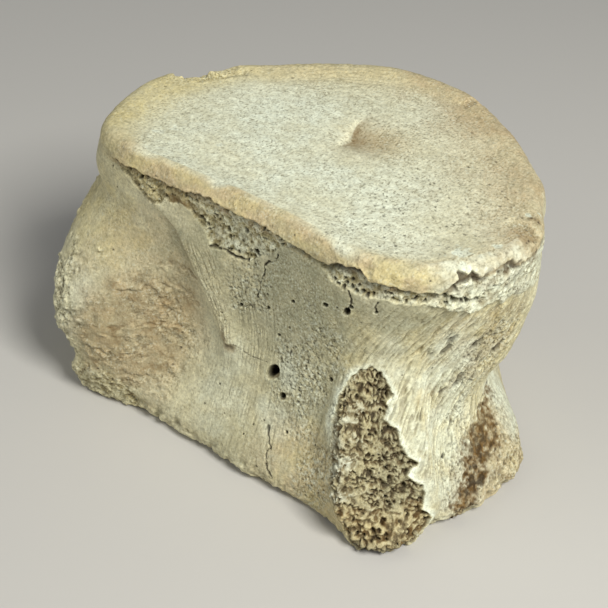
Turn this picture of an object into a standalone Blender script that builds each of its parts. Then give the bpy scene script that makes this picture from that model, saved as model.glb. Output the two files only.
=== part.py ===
"""Body of a baleen whale's thoracic vertebra, dry and broken, standing on its lower end plate.

Units are metres and +Z is up. The flat face that lay under the spinal cord looks along -Y, and the
rounded belly side along +Y. The bone is modelled whole, as rings round an upright axis, and is then
parted by thin cuts into its plates, its body and the stumps of its broken processes.
"""

import math
from typing import NamedTuple

import bmesh
import bpy
import numpy as np
from mathutils import Matrix, Vector

HEIGHT = 0.092          # from the lower end face to the upper one
PLATE = 0.008           # thickness of each end plate (epiphysis)
RIM_RADIUS = 0.005      # rounding of both rims
CUT = 0.0003            # width of the cuts that part the bone
AXIS = Vector((0.0066, 0.0014, 0.0))    # where the rings' axis stands, with the bone's box over the origin

COLUMNS = 100           # facets round the bone
WALL_RINGS = 27         # rings between the two rounded rims
RIM_RINGS = 3           # rings in each rounded rim
FACE_RINGS = (0.82, 0.60, 0.36, 0.16, 0.07)     # share of the upper face's reach
CORNER = 12.0           # how squarely two sides of the bone meet

# Directions of the sides of a cross-section, in degrees from +X towards +Y.
SIDES = (-90.0, -38.0, 2.0, 45.0, 92.0, 135.0, 180.0, -142.0)


class Section(NamedTuple):
    """Distance from the axis to each side of the bone, at one level."""

    level: float
    reach: tuple


SECTIONS = (
    Section(0.000, (0.0525, 0.0740, 0.0735, 0.0570, 0.0560, 0.0560, 0.0670, 0.0690)),
    Section(0.010, (0.0520, 0.0715, 0.0690, 0.0570, 0.0560, 0.0570, 0.0680, 0.0700)),
    Section(0.024, (0.0470, 0.0620, 0.0570, 0.0525, 0.0520, 0.0520, 0.0610, 0.0640)),
    Section(0.042, (0.0430, 0.0570, 0.0600, 0.0540, 0.0490, 0.0495, 0.0600, 0.0625)),
    Section(0.064, (0.0430, 0.0600, 0.0665, 0.0580, 0.0510, 0.0520, 0.0685, 0.0705)),
    Section(0.080, (0.0440, 0.0660, 0.0680, 0.0575, 0.0550, 0.0550, 0.0730, 0.0745)),
    Section(0.092, (0.0455, 0.0690, 0.0725, 0.0525, 0.0575, 0.0550, 0.0720, 0.0760)),
)


class Stump(NamedTuple):
    """Root of a process: an oval swelling of the wall, broken off along a plane."""

    angle: float        # direction of its middle, in degrees
    half_angle: float   # half its width round the bone, in degrees
    level: float        # height of its middle
    above: float        # how far it fades above the middle
    below: float        # how far it fades below the middle
    reach: float        # how far it would stand out, unbroken
    power: float        # how flat its top and how steep its flanks are
    break_angle: float  # direction the broken face looks in, in degrees
    break_rise: float   # how far the broken face looks up, in degrees
    break_reach: float  # distance of the broken face's plane from the foot of the axis
    soften: float       # how far the broken edge is rounded


RIGHT_PROCESS = Stump(-155, 28, 0.028, 0.031, 0.035, 0.030, 4, -158, -14, 0.0755, 0.003)
LEFT_PEDICLE = Stump(-40, 12.5, 0.020, 0.032, 0.0215, 0.024, 4, -43, 27, 0.072, 0.004)
LEFT_PROCESS = Stump(14, 22, 0.002, 0.013, 0.014, 0.003, 3, 14, 10, 0.080, 0.003)
STUMPS = (RIGHT_PROCESS, LEFT_PEDICLE, LEFT_PROCESS)


class Hollow(NamedTuple):
    """A shallow basin, or with a negative depth a low swelling, in the wall."""

    angle: float
    half_angle: float
    level: float
    half_height: float
    depth: float


HOLLOWS = (
    Hollow(-121, 13, 0.034, 0.021, 0.0034),     # smooth basin beside the right process
    Hollow(-84, 16, 0.040, 0.026, 0.0010),      # channel with the two nutrient holes
    Hollow(-104, 26, 0.0775, 0.0065, 0.0014),   # worn strip below the upper plate
    Hollow(92, 20, 0.044, 0.030, -0.0030),      # low keel along the belly side
    Hollow(66, 13, 0.046, 0.024, 0.0022),       # hollows on both sides of the keel
    Hollow(118, 13, 0.046, 0.024, 0.0022),
)

RIDGE_LEVELS = (0.039, 0.057, 0.071, 0.084)     # a slanting ridge between basin and channel
RIDGE_ANGLES = (-99.0, -120.0, -132.0, -141.0)
RIDGE_HALF_ANGLE = 6.0
RIDGE_HEIGHT = 0.0022
RIDGE_FADE = 0.009                              # over which its lower end dies away

DISH_DEPTH = 0.0010                             # of the upper face, inside its raised border
DISH_SHARE = 0.82                               # part of the face that the dish takes
DIMPLE = Vector((0.0001, 0.0092, HEIGHT))       # small pit in the middle of the upper face
DIMPLE_RADIUS = 0.0085
DIMPLE_DEPTH = 0.0014


class Finish(NamedTuple):
    """Colour and roughness of one kind of bone surface."""

    name: str
    colour: tuple
    roughness: float


WALL_BONE = Finish("wall_bone", (0.60, 0.55, 0.43, 1.0), 0.72)
PLATE_BONE = Finish("plate_bone", (0.66, 0.61, 0.48, 1.0), 0.66)
SPONGY_BONE = Finish("spongy_bone", (0.47, 0.41, 0.29, 1.0), 0.85)
BROKEN_BONE = Finish("broken_bone", (0.55, 0.48, 0.36, 1.0), 0.80)


class Part(NamedTuple):
    """The box that a broken process is cut off with: a slab beyond an upright plane."""

    node: str
    finish: Finish
    angle: float        # direction from the axis, in degrees
    distance: float     # from the axis to the cut
    width: float
    top: float


PARTED = (
    Part("right_process_stump", BROKEN_BONE, -158, 0.070, 0.120, 0.062),
    Part("left_pedicle_stump", SPONGY_BONE, -41, 0.056, 0.044, 0.046),
    Part("left_process_stump", BROKEN_BONE, 14, 0.0585, 0.064, 0.026),
)
SLAB_REACH = 0.12       # how far the cutting boxes reach past the bone


def turn_between(angle, middle):
    """Angle from middle to angle, in radians between -pi and pi."""
    return (angle - math.radians(middle) + math.pi) % (2 * math.pi) - math.pi


def bell(x, power=2.0):
    return math.exp(-abs(x) ** power)


def smooth_step(x):
    x = min(max(x, 0.0), 1.0)
    return x * x * (3 - 2 * x)


def soft_min(a, b, blend):
    """The smaller of two lengths, with the corner between them rounded."""
    share = min(max(0.5 + 0.5 * (b - a) / blend, 0.0), 1.0)
    return b * (1 - share) + a * share - blend * share * (1 - share)


def side_reaches(level):
    """Distances to the sides at a level, on a smooth curve through the sections."""
    levels = np.array([section.level for section in SECTIONS])
    reaches = np.array([section.reach for section in SECTIONS])
    slopes = np.gradient(reaches, levels, axis=0)
    lower = int(np.clip(np.searchsorted(levels, level, side="right") - 1, 0, len(levels) - 2))
    span = levels[lower + 1] - levels[lower]
    t = (level - levels[lower]) / span
    return (
        (2 * t**3 - 3 * t**2 + 1) * reaches[lower]
        + (t**3 - 2 * t**2 + t) * span * slopes[lower]
        + (3 * t**2 - 2 * t**3) * reaches[lower + 1]
        + (t**3 - t**2) * span * slopes[lower + 1]
    )


def core_radius(angle, reaches):
    """Radius of a cross-section with straight sides and rounded corners."""
    towards = np.maximum(np.cos(angle - np.radians(SIDES)), 0.0) / reaches
    return float((towards**CORNER).sum() ** (-1 / CORNER))


def stump_swelling(stump, angle, level, core):
    """How far a broken process stands out from the core at one place."""
    side = turn_between(angle, stump.angle) / math.radians(stump.half_angle)
    offset = level - stump.level
    height = offset / (stump.above if offset > 0 else stump.below)
    whole = core + stump.reach * bell(math.hypot(side, height), stump.power)
    facing = math.cos(turn_between(angle, stump.break_angle))
    if facing > 0.3:
        rise = math.radians(stump.break_rise)
        broken = (stump.break_reach - level * math.sin(rise)) / (facing * math.cos(rise))
        whole = soft_min(whole, broken, stump.soften)
    return max(whole - core, 0.0)


def hollow_depth(angle, level):
    return sum(
        hollow.depth
        * bell(turn_between(angle, hollow.angle) / math.radians(hollow.half_angle))
        * bell((level - hollow.level) / hollow.half_height)
        for hollow in HOLLOWS
    )


def ridge_height(angle, level):
    middle = float(np.interp(level, RIDGE_LEVELS, RIDGE_ANGLES))
    across = bell(turn_between(angle, middle) / math.radians(RIDGE_HALF_ANGLE))
    return RIDGE_HEIGHT * across * smooth_step((level - RIDGE_LEVELS[0]) / RIDGE_FADE + 1)


def wall_radius(angle, level):
    """Radius of the bone's wall, with both rims rounded."""
    inside = min(max(level, RIM_RADIUS), HEIGHT - RIM_RADIUS)
    core = core_radius(angle, side_reaches(inside))
    radius = core + sum(stump_swelling(stump, angle, inside, core) for stump in STUMPS)
    radius += ridge_height(angle, inside) - hollow_depth(angle, inside)
    return radius - RIM_RADIUS + math.sqrt(max(RIM_RADIUS**2 - (level - inside) ** 2, 0.0))


def wall_point(angle, level):
    radius = wall_radius(angle, level)
    return Vector((radius * math.cos(angle), radius * math.sin(angle), level))


def ring_levels():
    """Heights of the rings: close together round each rim, evenly spaced between them."""
    arc = [RIM_RADIUS * (1 - math.cos(math.pi / 2 * i / RIM_RINGS)) for i in range(RIM_RINGS)]
    wall = np.linspace(RIM_RADIUS, HEIGHT - RIM_RADIUS, WALL_RINGS)
    return arc + list(wall) + [HEIGHT - level for level in reversed(arc)]


def face_point(place, share):
    """A place on the upper face, sunk to its dish and dimple: share is its reach towards the rim."""
    from_dimple = math.hypot(place.x - DIMPLE.x, place.y - DIMPLE.y)
    dimple = DIMPLE_DEPTH * bell(from_dimple / DIMPLE_RADIUS)
    dish = DISH_DEPTH * smooth_step((1 - share) / (1 - DISH_SHARE))
    return Vector((place.x, place.y, HEIGHT - dimple - dish))


def extrude_ring(bm, edges):
    """A copy of a ring of edges, joined to it by faces: its vertices and its edges."""
    made = bmesh.ops.extrude_edge_only(bm, edges=edges)["geom"]
    verts = [item for item in made if isinstance(item, bmesh.types.BMVert)]
    ring = set(verts)
    edges = [
        item
        for item in made
        if isinstance(item, bmesh.types.BMEdge) and set(item.verts) <= ring
    ]
    return verts, edges


def whole_bone():
    """The bone in one piece, as a mesh."""
    bm = bmesh.new()
    levels = ring_levels()
    verts = bmesh.ops.create_circle(bm, segments=COLUMNS, radius=1.0)["verts"]
    edges = list(bm.edges)
    for vert in verts:
        vert.co = wall_point(math.atan2(vert.co.y, vert.co.x), levels[0])
    bmesh.ops.contextual_create(bm, geom=edges)
    for level in levels[1:]:
        verts, edges = extrude_ring(bm, edges)
        for vert in verts:
            vert.co = wall_point(math.atan2(vert.co.y, vert.co.x), level)
    for outer, share in zip((1.0, *FACE_RINGS), (*FACE_RINGS, 0.0)):
        verts, edges = extrude_ring(bm, edges)
        for vert in verts:
            vert.co = face_point(DIMPLE.lerp(vert.co, share / outer), share)
    bmesh.ops.pointmerge(bm, verts=verts, merge_co=verts[0].co)
    bmesh.ops.recalc_face_normals(bm, faces=bm.faces)
    bmesh.ops.translate(bm, verts=bm.verts, vec=AXIS)
    mesh = bpy.data.meshes.new("whole_bone")
    bm.to_mesh(mesh)
    bm.free()
    return mesh


def bone_material(finish):
    """The material of a finish, shared by the nodes that have it."""
    material = bpy.data.materials.get(finish.name)
    if material:
        return material
    material = bpy.data.materials.new(finish.name)
    material.use_nodes = True
    shader = material.node_tree.nodes["Principled BSDF"]
    shader.inputs["Base Color"].default_value = finish.colour
    shader.inputs["Roughness"].default_value = finish.roughness
    shader.inputs["Metallic"].default_value = 0.0
    return material


def guide_box(name, low, high, turn=0.0):
    """A hidden box that shapes the nodes, turned round the rings' axis."""
    bm = bmesh.new()
    size = Vector(high) - Vector(low)
    middle = (Vector(high) + Vector(low)) / 2
    place = Matrix.Translation(AXIS) @ Matrix.Rotation(turn, 4, "Z") @ Matrix.Translation(middle)
    bmesh.ops.create_cube(bm, size=1.0, matrix=place @ Matrix.Diagonal(size.to_4d()))
    mesh = bpy.data.meshes.new(name)
    bm.to_mesh(mesh)
    bm.free()
    box = bpy.data.objects.new(name, mesh)
    box.hide_render = True
    box.display_type = "WIRE"
    bpy.context.collection.objects.link(box)
    return box


def process_box(part, name, gap):
    """The box that holds a broken process, grown by a gap on the sides that cut bone."""
    return guide_box(
        name,
        (part.distance - gap, -part.width / 2 - gap, -PLATE),
        (part.distance + SLAB_REACH, part.width / 2 + gap, part.top + gap),
        math.radians(part.angle),
    )


def slab_box(name, low, high):
    """A level slab that takes in the whole outline between two heights."""
    return guide_box(name, (-SLAB_REACH, -SLAB_REACH, low), (SLAB_REACH, SLAB_REACH, high))


def add_boolean(node, operation, tool):
    modifier = node.modifiers.new(f"{operation.lower()} {tool.name}", "BOOLEAN")
    modifier.operation = operation
    modifier.solver = "EXACT"
    modifier.object = tool


def add_node(name, mesh, finish):
    """A node that starts as the whole bone."""
    node = bpy.data.objects.new(name, mesh.copy())
    node.data.name = name
    node.data.materials.append(bone_material(finish))
    node.data.shade_smooth()
    node.data.set_sharp_from_angle(angle=math.radians(40))
    bpy.context.collection.objects.link(node)
    return node


def build():
    for existing in list(bpy.data.objects):
        bpy.data.objects.remove(existing, do_unlink=True)
    mesh = whole_bone()

    removed = []
    for part in PARTED:
        stump = add_node(part.node, mesh, part.finish)
        add_boolean(stump, "INTERSECT", process_box(part, f"keep_{part.node}", 0.0))
        removed.append(process_box(part, f"remove_{part.node}", CUT))

    slabs = (
        ("lower_epiphysis", PLATE_BONE, -PLATE, PLATE),
        ("centrum", WALL_BONE, PLATE + CUT, HEIGHT - PLATE - CUT),
        ("upper_epiphysis", PLATE_BONE, HEIGHT - PLATE, HEIGHT + PLATE),
    )
    for name, finish, low, high in slabs:
        node = add_node(name, mesh, finish)
        add_boolean(node, "INTERSECT", slab_box(f"keep_{name}", low, high))
        for part, box in zip(PARTED, removed):
            if part.top + CUT > low:
                add_boolean(node, "DIFFERENCE", box)
    bpy.data.meshes.remove(mesh)


build()
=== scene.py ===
"""Looks of a dry, broken whale vertebra, standing on its lower end plate.

The bone's form is worked out from the same sizes as its solids, as one skin of columns round an upright
axis and rows from the foot to the crown. Reliefs then carve that skin: open spongy bone, nutrient holes,
a worn strip, fibres, cracks and pores. Each piece is a cut-out of the carved skin, closed behind, that
stands for one node of the frame, so neighbouring pieces meet without a gap.

Sizes are in millimetres and angles in degrees from +X towards +Y, until a mesh is made in metres.
"""

import logging
import math
from collections.abc import Callable
from dataclasses import dataclass, field
from enum import Enum
from itertools import product

import bmesh
import bpy
import numpy as np
from mathutils import Matrix, Vector


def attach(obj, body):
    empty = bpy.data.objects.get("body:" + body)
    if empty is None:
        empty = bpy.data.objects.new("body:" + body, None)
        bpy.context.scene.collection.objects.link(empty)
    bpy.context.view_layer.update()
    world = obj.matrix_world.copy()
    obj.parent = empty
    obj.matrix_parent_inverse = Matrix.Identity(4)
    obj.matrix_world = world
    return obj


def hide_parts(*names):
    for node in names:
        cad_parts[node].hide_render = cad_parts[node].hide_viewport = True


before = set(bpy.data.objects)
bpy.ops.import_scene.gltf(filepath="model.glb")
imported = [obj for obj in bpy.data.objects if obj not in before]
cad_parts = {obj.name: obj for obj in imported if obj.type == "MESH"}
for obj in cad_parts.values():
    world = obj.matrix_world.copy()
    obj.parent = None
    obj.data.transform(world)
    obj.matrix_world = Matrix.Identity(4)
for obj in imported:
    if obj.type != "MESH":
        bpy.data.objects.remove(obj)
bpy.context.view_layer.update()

log = logging.getLogger("vertebra")

MM = 0.001                  # metres in a millimetre
DEGREE = math.radians(1.0)  # length of a degree round a circle whose radius is 1
BODY = "root"

Grid = np.ndarray               # numbers laid out in rows and columns, or a row of them
Socket = bpy.types.NodeSocket
BMesh = bmesh.types.BMesh


# ---- Noise ----

LARGE_PRIMES = (0x8DA6B343, 0xD8163841, 0xCB1AB31F)
SCRAMBLE = ((15, 0x85EBCA6B), (13, 0xC2B2AE35))
SLOPES = np.array(
    [slope for slope in product((-1.0, 0.0, 1.0), repeat=3) if sum(map(abs, slope)) == 2]
)
NOISE_GAIN = 1.5  # brings gradient noise close to the range from -1 to 1


def cell_random(cell: Grid, seed: int) -> Grid:
    """Random numbers that belong to whole-numbered cells of space.

    Args:
        cell: Whole numbers, with the three axes last.
        seed: Chooses the set of numbers.

    Returns:
        One number from 0 to 1 for each cell.
    """
    axes = np.moveaxis(cell.astype(np.int64).astype(np.uint32), -1, 0)
    value = np.full(axes[0].shape, seed * 0x9E3779B1 % 2**32, dtype=np.uint32)
    for axis, prime in zip(axes, LARGE_PRIMES):
        value = value ^ axis * np.uint32(prime)
    for shift, factor in SCRAMBLE:
        value = (value ^ value >> np.uint32(shift)) * np.uint32(factor)
    return (value ^ value >> np.uint32(16)) / 2.0**32


def noise(points: Grid, wavelength: float, seed: int) -> Grid:
    """Smooth random waves through space.

    Args:
        points: Places, with the three axes last.
        wavelength: Rough distance between two crests, in the points' unit.
        seed: Chooses the field.

    Returns:
        Heights of about -1 to 1, one for each place.
    """
    place = points / wavelength
    low = np.floor(place)
    part = place - low
    ease = part**3 * (part * (part * 6 - 15) + 10)
    total = np.zeros(place.shape[:-1])
    for corner in product((0, 1), repeat=3):
        weight = np.where(corner, ease, 1 - ease).prod(axis=-1)
        slope = SLOPES[(cell_random(low + corner, seed) * len(SLOPES)).astype(int)]
        total += weight * ((part - corner) * slope).sum(axis=-1)
    return total * NOISE_GAIN


def fractal(points: Grid, wavelength: float, seed: int, octaves: int = 3) -> Grid:
    """Noise with ever finer and lower waves added to it.

    Args:
        points: Places, with the three axes last.
        wavelength: Distance between two crests of the coarsest waves.
        seed: Chooses the field.
        octaves: How many layers are added, each half as coarse and half as high.

    Returns:
        Heights of about -1 to 1, one for each place.
    """
    total = np.zeros(points.shape[:-1])
    for octave in range(octaves):
        total += noise(points, wavelength / 2**octave, seed + octave) / 2**octave
    return total * 2 / 3


@dataclass
class Cells:
    """Round cells packed at random: distances are shares of the cells' size."""

    near: Grid  # distance to the middle of the cell that a place is in
    wall: Grid  # 0 on the wall between two cells, growing towards their middles
    own: Grid   # a random number from 0 to 1 that belongs to the cell


def cells(points: Grid, size: float, seed: int) -> Cells:
    """The random cells that places lie in.

    Args:
        points: Places, with the three axes last.
        size: Rough width of a cell.
        seed: Chooses the packing.

    Returns:
        What each place's cell is like.
    """
    place = points / size
    low = np.floor(place)
    near = np.full(place.shape[:-1], np.inf)
    after = near.copy()
    own = np.zeros(near.shape)
    for step in product((-1, 0, 1), repeat=3):
        cell = low + step
        middle = cell + np.stack([cell_random(cell, seed + axis) for axis in range(3)], axis=-1)
        distance = np.sqrt(((place - middle) ** 2).sum(axis=-1))
        closer = distance < near
        after = np.where(closer, near, np.minimum(after, distance))
        own = np.where(closer, cell_random(cell, seed + 3), own)
        near = np.minimum(near, distance)
    return Cells(near, after - near, own)


def ramp(value: Grid, low: float, high: float) -> Grid:
    """A smooth rise from 0 where the value is low to 1 where it is high."""
    share = np.clip((value - low) / (high - low), 0.0, 1.0)
    return share * share * (3 - 2 * share)


def fall(value: Grid, low: float, high: float) -> Grid:
    """A smooth fall from 1 where the value is low to 0 where it is high."""
    return 1 - ramp(value, low, high)


def bell(value: Grid, power: float = 2.0) -> Grid:
    """A bell of height 1 round 0, with a flatter top for a higher power."""
    return np.exp(-(np.abs(value) ** power))


def turn(angle: Grid, middle: float) -> Grid:
    """Angle from the middle to each angle, in degrees between -180 and 180."""
    return (angle - middle + 180.0) % 360.0 - 180.0


def towards(angle: Grid, middle: float) -> Grid:
    """How far each angle looks the way of the middle one: 1 for that one, -1 for the opposite."""
    return np.cos(np.radians(turn(angle, middle)))


def read_line(at: Grid, line: tuple) -> Grid:
    """Second numbers of a bent line's corners, read where the first number is as given."""
    return np.interp(at, *zip(*line))


def stacked(*axes: Grid) -> Grid:
    """Places from their three coordinates, which may be grids, rows, columns or numbers."""
    return np.stack(np.broadcast_arrays(*axes), axis=-1)


# ---- Form of the bone, as in its solids ----

HEIGHT = 92.0
PLATE = 8.0                       # thickness of each end plate
RIM_RADIUS = 5.0                  # rounding of both rims
CORNER = 12.0                     # how squarely two sides of the bone meet
AXIS = np.array((6.6, 1.4, 0.0))  # where the axis of the columns stands
SIDES = np.array((-90.0, -38.0, 2.0, 45.0, 92.0, 135.0, 180.0, -142.0))
LEVELS = np.array((0.0, 10.0, 24.0, 42.0, 64.0, 80.0, 92.0))
REACHES = np.array(  # distance from the axis to each side, at each level
    (
        (52.5, 74.0, 73.5, 57.0, 56.0, 56.0, 67.0, 69.0),
        (52.0, 71.5, 69.0, 57.0, 56.0, 57.0, 68.0, 70.0),
        (47.0, 62.0, 57.0, 52.5, 52.0, 52.0, 61.0, 64.0),
        (43.0, 57.0, 60.0, 54.0, 49.0, 49.5, 60.0, 62.5),
        (43.0, 60.0, 66.5, 58.0, 51.0, 52.0, 68.5, 70.5),
        (44.0, 66.0, 68.0, 57.5, 55.0, 55.0, 73.0, 74.5),
        (45.5, 69.0, 72.5, 52.5, 57.5, 55.0, 72.0, 76.0),
    )
)
RIDGE_LEVELS = (39.0, 48.0, 57.0, 71.0, 84.0)
RIDGE_ANGLES = (-99.5, -107.0, -113.5, -122.0, -136.0)
RIDGE_STEEP = 2.8  # half widths of its left and right flank
RIDGE_GENTLE = 8.5
RIDGE_HEIGHT = 1.2
RIDGE_FADE = 9.0
DISH_DEPTH = 1.0
DISH_SHARE = 0.82
DIMPLE = np.array((0.1, 9.2, HEIGHT))
DIMPLE_RADIUS = 8.5
DIMPLE_DEPTH = 1.4


LEAST_FACING = 0.3  # how squarely a place has to look at a broken face to be cut by it
FULL_SWELLING = 3.0  # swelling from which on a stump's foot runs softly into the wall


@dataclass(frozen=True)
class Stump:
    """Root of a process: an oval swelling of the wall, broken off along a plane."""

    angle: float        # direction of its middle
    half_angle: float   # half its width round the bone
    level: float        # height of its middle
    above: float        # how far it fades above the middle
    below: float        # how far it fades below the middle
    reach: float        # how far it would stand out, unbroken
    power: float        # how flat its top and how steep its flanks are
    break_angle: float  # direction that the broken face looks in
    break_rise: float   # how far the broken face looks up
    break_reach: float  # distance of the broken face's plane from the foot of the axis
    soften: float       # how far the broken edge is rounded
    blend: float = 0.5  # how softly the broken face runs into the wall

    def swelling(self, angle: Grid, level: Grid, core: Grid) -> Grid:
        """How far the stump stands out from the core.

        Args:
            angle: Directions from the axis.
            level: Heights.
            core: Distance from the axis to the wall without its stumps.

        Returns:
            The swelling, 0 where the stump has faded away.
        """
        side = turn(angle, self.angle) / self.half_angle
        offset = level - self.level
        height = offset / np.where(offset > 0, self.above, self.below)
        whole = core + self.reach * bell(np.hypot(side, height), self.power)
        facing = towards(angle, self.break_angle)
        rise = math.radians(self.break_rise)
        squarely = np.maximum(facing, LEAST_FACING) * math.cos(rise)
        plane = (self.break_reach - level * math.sin(rise)) / squarely
        share = np.clip(0.5 + 0.5 * (plane - whole) / self.soften, 0.0, 1.0)
        broken = plane * (1 - share) + whole * share - self.soften * share * (1 - share)
        out = np.where(facing > LEAST_FACING, broken, whole) - core
        share = np.clip(0.5 + 0.5 * out / self.blend, 0.0, 1.0)
        soft = out * share + self.blend * share * (1 - share)
        here = np.clip((whole - core) / FULL_SWELLING, 0.0, 1.0)
        return soft * here + np.maximum(out, 0.0) * (1 - here)


STUMPS = (
    Stump(-155.0, 28.0, 28.0, 31.0, 35.0, 30.0, 4.0, -158.0, -14.0, 75.5, 3.0),
    Stump(-40.0, 12.5, 20.0, 32.0, 21.5, 24.0, 4.0, -43.0, 27.0, 72.0, 4.0, 6.0),
    Stump(14.0, 22.0, 2.0, 13.0, 14.0, 3.0, 3.0, 14.0, 10.0, 80.0, 3.0),
)


@dataclass(frozen=True)
class Hollow:
    """A shallow basin, or with a negative depth a low swelling, in the wall."""

    angle: float
    half_angle: float
    level: float
    half_height: float
    depth: float


HOLLOWS = (
    Hollow(-121, 13, 34, 21, 3.4),     # smooth basin beside the right process
    Hollow(-84, 16, 40, 26, 1),        # channel with the two nutrient holes
    Hollow(-104, 26, 77.5, 6.5, 1.4),  # worn strip below the upper plate
    Hollow(92, 20, 44, 30, -3),        # low keel along the belly side
    Hollow(66, 13, 46, 24, 2.2),       # hollows on both sides of the keel
    Hollow(118, 13, 46, 24, 2.2),
)
TOUCHES = tuple(  # small corrections to the outline that the solids go without
    Hollow(*sizes)
    for sizes in (
        (-147, 9, 77, 7, -2.6), (-156, 17, 91, 7, 1.1), (-160, 12, 63, 8.5, -3.2),
        (-159, 8, 64, 4.5, -1.4), (-156, 8, 50, 5, 1.9), (-150, 10, 44, 8, 1.9),
        (-142, 11, 26, 10, 0.5), (-138, 9, 15, 6.5, 3.6), (-146, 14, 5, 13, 1.8), (-127, 5, 0, 7, 3.2),
        (-137.5, 5, 18, 5, 1.2), (-112, 14, 2, 12, -0.6), (-84, 9, 2, 9, -1.6), (-61, 6, 4, 14, 1),
        (-49.5, 4.5, 1, 9, 4.2), (-37, 3.5, 3, 6, -1.6), (-40, 5.5, 2, 7, -3.2), (-30.5, 4, 3, 9, 3),
        (-18, 7, 3, 6, -2.6), (12, 6, 5, 5, 1.3), (6, 8, 37, 6, -1.1), (12, 9, 59, 7, -0.9),
        (23, 6, 87, 6, -1.5), (3, 15, 2, 8, -1.9), (24, 10, 11, 7, 2.6), (20, 11, 25, 7, 2),
        (9, 12, 47, 9, -2.4), (13, 9, 81, 9, 1.8), (34, 14, 89, 9, -1.5), (66, 12, 90, 14, 1.6),
        (165, 28, 90, 14, 0.6),
    )
)


def side_reaches(level: Grid) -> Grid:
    """Distances to the sides, on smooth curves through the sections.

    Args:
        level: Heights.

    Returns:
        A grid with a row of distances for each height.
    """
    slopes = np.gradient(REACHES, LEVELS, axis=0)
    lower = np.clip(np.searchsorted(LEVELS, level, side="right") - 1, 0, len(LEVELS) - 2)
    span = (LEVELS[lower + 1] - LEVELS[lower])[:, None]
    t = (level - LEVELS[lower])[:, None] / span
    return (
        (2 * t**3 - 3 * t**2 + 1) * REACHES[lower]
        + (t**3 - 2 * t**2 + t) * span * slopes[lower]
        + (3 * t**2 - 2 * t**3) * REACHES[lower + 1]
        + (t**3 - t**2) * span * slopes[lower + 1]
    )


def wall_radius(angle: Grid, level: Grid) -> Grid:
    """Radius of the bone's wall, with both rims rounded.

    Args:
        angle: Direction of each column.
        level: Height of each row.

    Returns:
        A grid of radii, one row for each level.
    """
    inside = np.clip(level, RIM_RADIUS, HEIGHT - RIM_RADIUS)
    facing = np.maximum(np.cos(np.radians(angle[:, None] - SIDES)), 0.0)
    core = ((facing / side_reaches(inside)[:, None, :]) ** CORNER).sum(axis=-1) ** (-1 / CORNER)
    across, up = np.meshgrid(angle, inside)
    radius = core + sum(stump.swelling(across, up, core) for stump in STUMPS)
    for hollow in HOLLOWS + TOUCHES:
        side = bell(turn(across, hollow.angle) / hollow.half_angle)
        radius -= hollow.depth * side * bell((up - hollow.level) / hollow.half_height)
    beside = turn(across, np.interp(up, RIDGE_LEVELS, RIDGE_ANGLES))
    ridge = bell(beside / np.where(beside < 0, RIDGE_STEEP, RIDGE_GENTLE))
    radius += RIDGE_HEIGHT * ridge * ramp(up, RIDGE_LEVELS[0] - RIDGE_FADE, RIDGE_LEVELS[0])
    rounding = RIM_RADIUS - np.sqrt(np.maximum(RIM_RADIUS**2 - (level - inside) ** 2, 0.0))
    return radius - rounding[:, None]


# ---- The skin: columns round the bone, rows from the foot to the crown ----


class Mark(Enum):
    """What a finish reads at each vertex, as an attribute from 0 to 1."""

    PIT = "pit"        # painted shade in holes, cracks, crevices and creases
    BROWN = "brown"    # brown and orange stain, and in places brown painted shade
    GREY = "grey"      # smooth grey-green bone; on the spongy face also grey painted shade
    TAN = "tan"        # pinkish tan bone
    YELLOW = "yellow"  # warm yellow bone of the rims
    PALE = "pale"      # bleached or freshly rubbed bone, and in places painted light
    PORES = "pores"    # how thick the fine dark pores stand
    RAISED = "raised"  # 0 in a crease, 1 on a crest, 0.5 on even ground; the finishes paint shade in creases and light on crests by it


PIT, BROWN, GREY, TAN, YELLOW, PALE, PORES, RAISED = Mark


class Side(Enum):
    """The part of the skin that a row belongs to."""

    FOOT = 0
    WALL = 1
    CROWN = 2


RIGHT_START, RIGHT_STOP = -188.0, -128.0    # span of the right process's stump
PEDICLE_START, PEDICLE_STOP = -60.0, -22.0  # span of the left pedicle's stump
LEFT_STOP = 40.0                            # end of the left process's stump
SEAM = -195.0                               # where the columns start and end
RIGHT_TOP, PEDICLE_TOP, LEFT_TOP = 62.0, 46.0, 24.0

COLUMN_SPANS = (  # from one angle to the next, in steps of about so many degrees
    (SEAM, RIGHT_START, 0.45),
    (RIGHT_START, -165.0, 0.40),
    (-165.0, RIGHT_STOP, 0.28),
    (RIGHT_STOP, PEDICLE_START, 0.30),
    (PEDICLE_START, PEDICLE_STOP, 0.21),
    (PEDICLE_STOP, -12.0, 0.28),
    (-12.0, LEFT_STOP, 0.36),
    (LEFT_STOP, SEAM + 360.0, 0.55),
)
LEVEL_SPANS = (  # the same for the heights of the wall's rows
    (RIM_RADIUS, PLATE, 0.28),
    (PLATE, LEFT_TOP, 0.28),
    (LEFT_TOP, PEDICLE_TOP, 0.28),
    (PEDICLE_TOP, RIGHT_TOP, 0.31),
    (RIGHT_TOP, HEIGHT - PLATE, 0.31),
    (HEIGHT - PLATE, HEIGHT - RIM_RADIUS, 0.31),
)
RIM_ROWS = 24        # rows in each rounded rim
FOOT_ROWS = 34       # rows of the lower end face
CROWN_BORDER = 0.74  # share of the crown's reach where its border piece ends
BORDER_ROWS = 44     # rows of the crown outside that share
DISC_ROWS = 84       # rows of the crown inside it


def stepped(spans: tuple) -> Grid:
    """Values along joined spans, each evenly divided into steps of about its own size."""
    runs = [
        np.linspace(low, high, max(round((high - low) / step), 1), endpoint=False)
        for low, high, step in spans
    ]
    return np.concatenate([*runs, [spans[-1][1]]])


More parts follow.
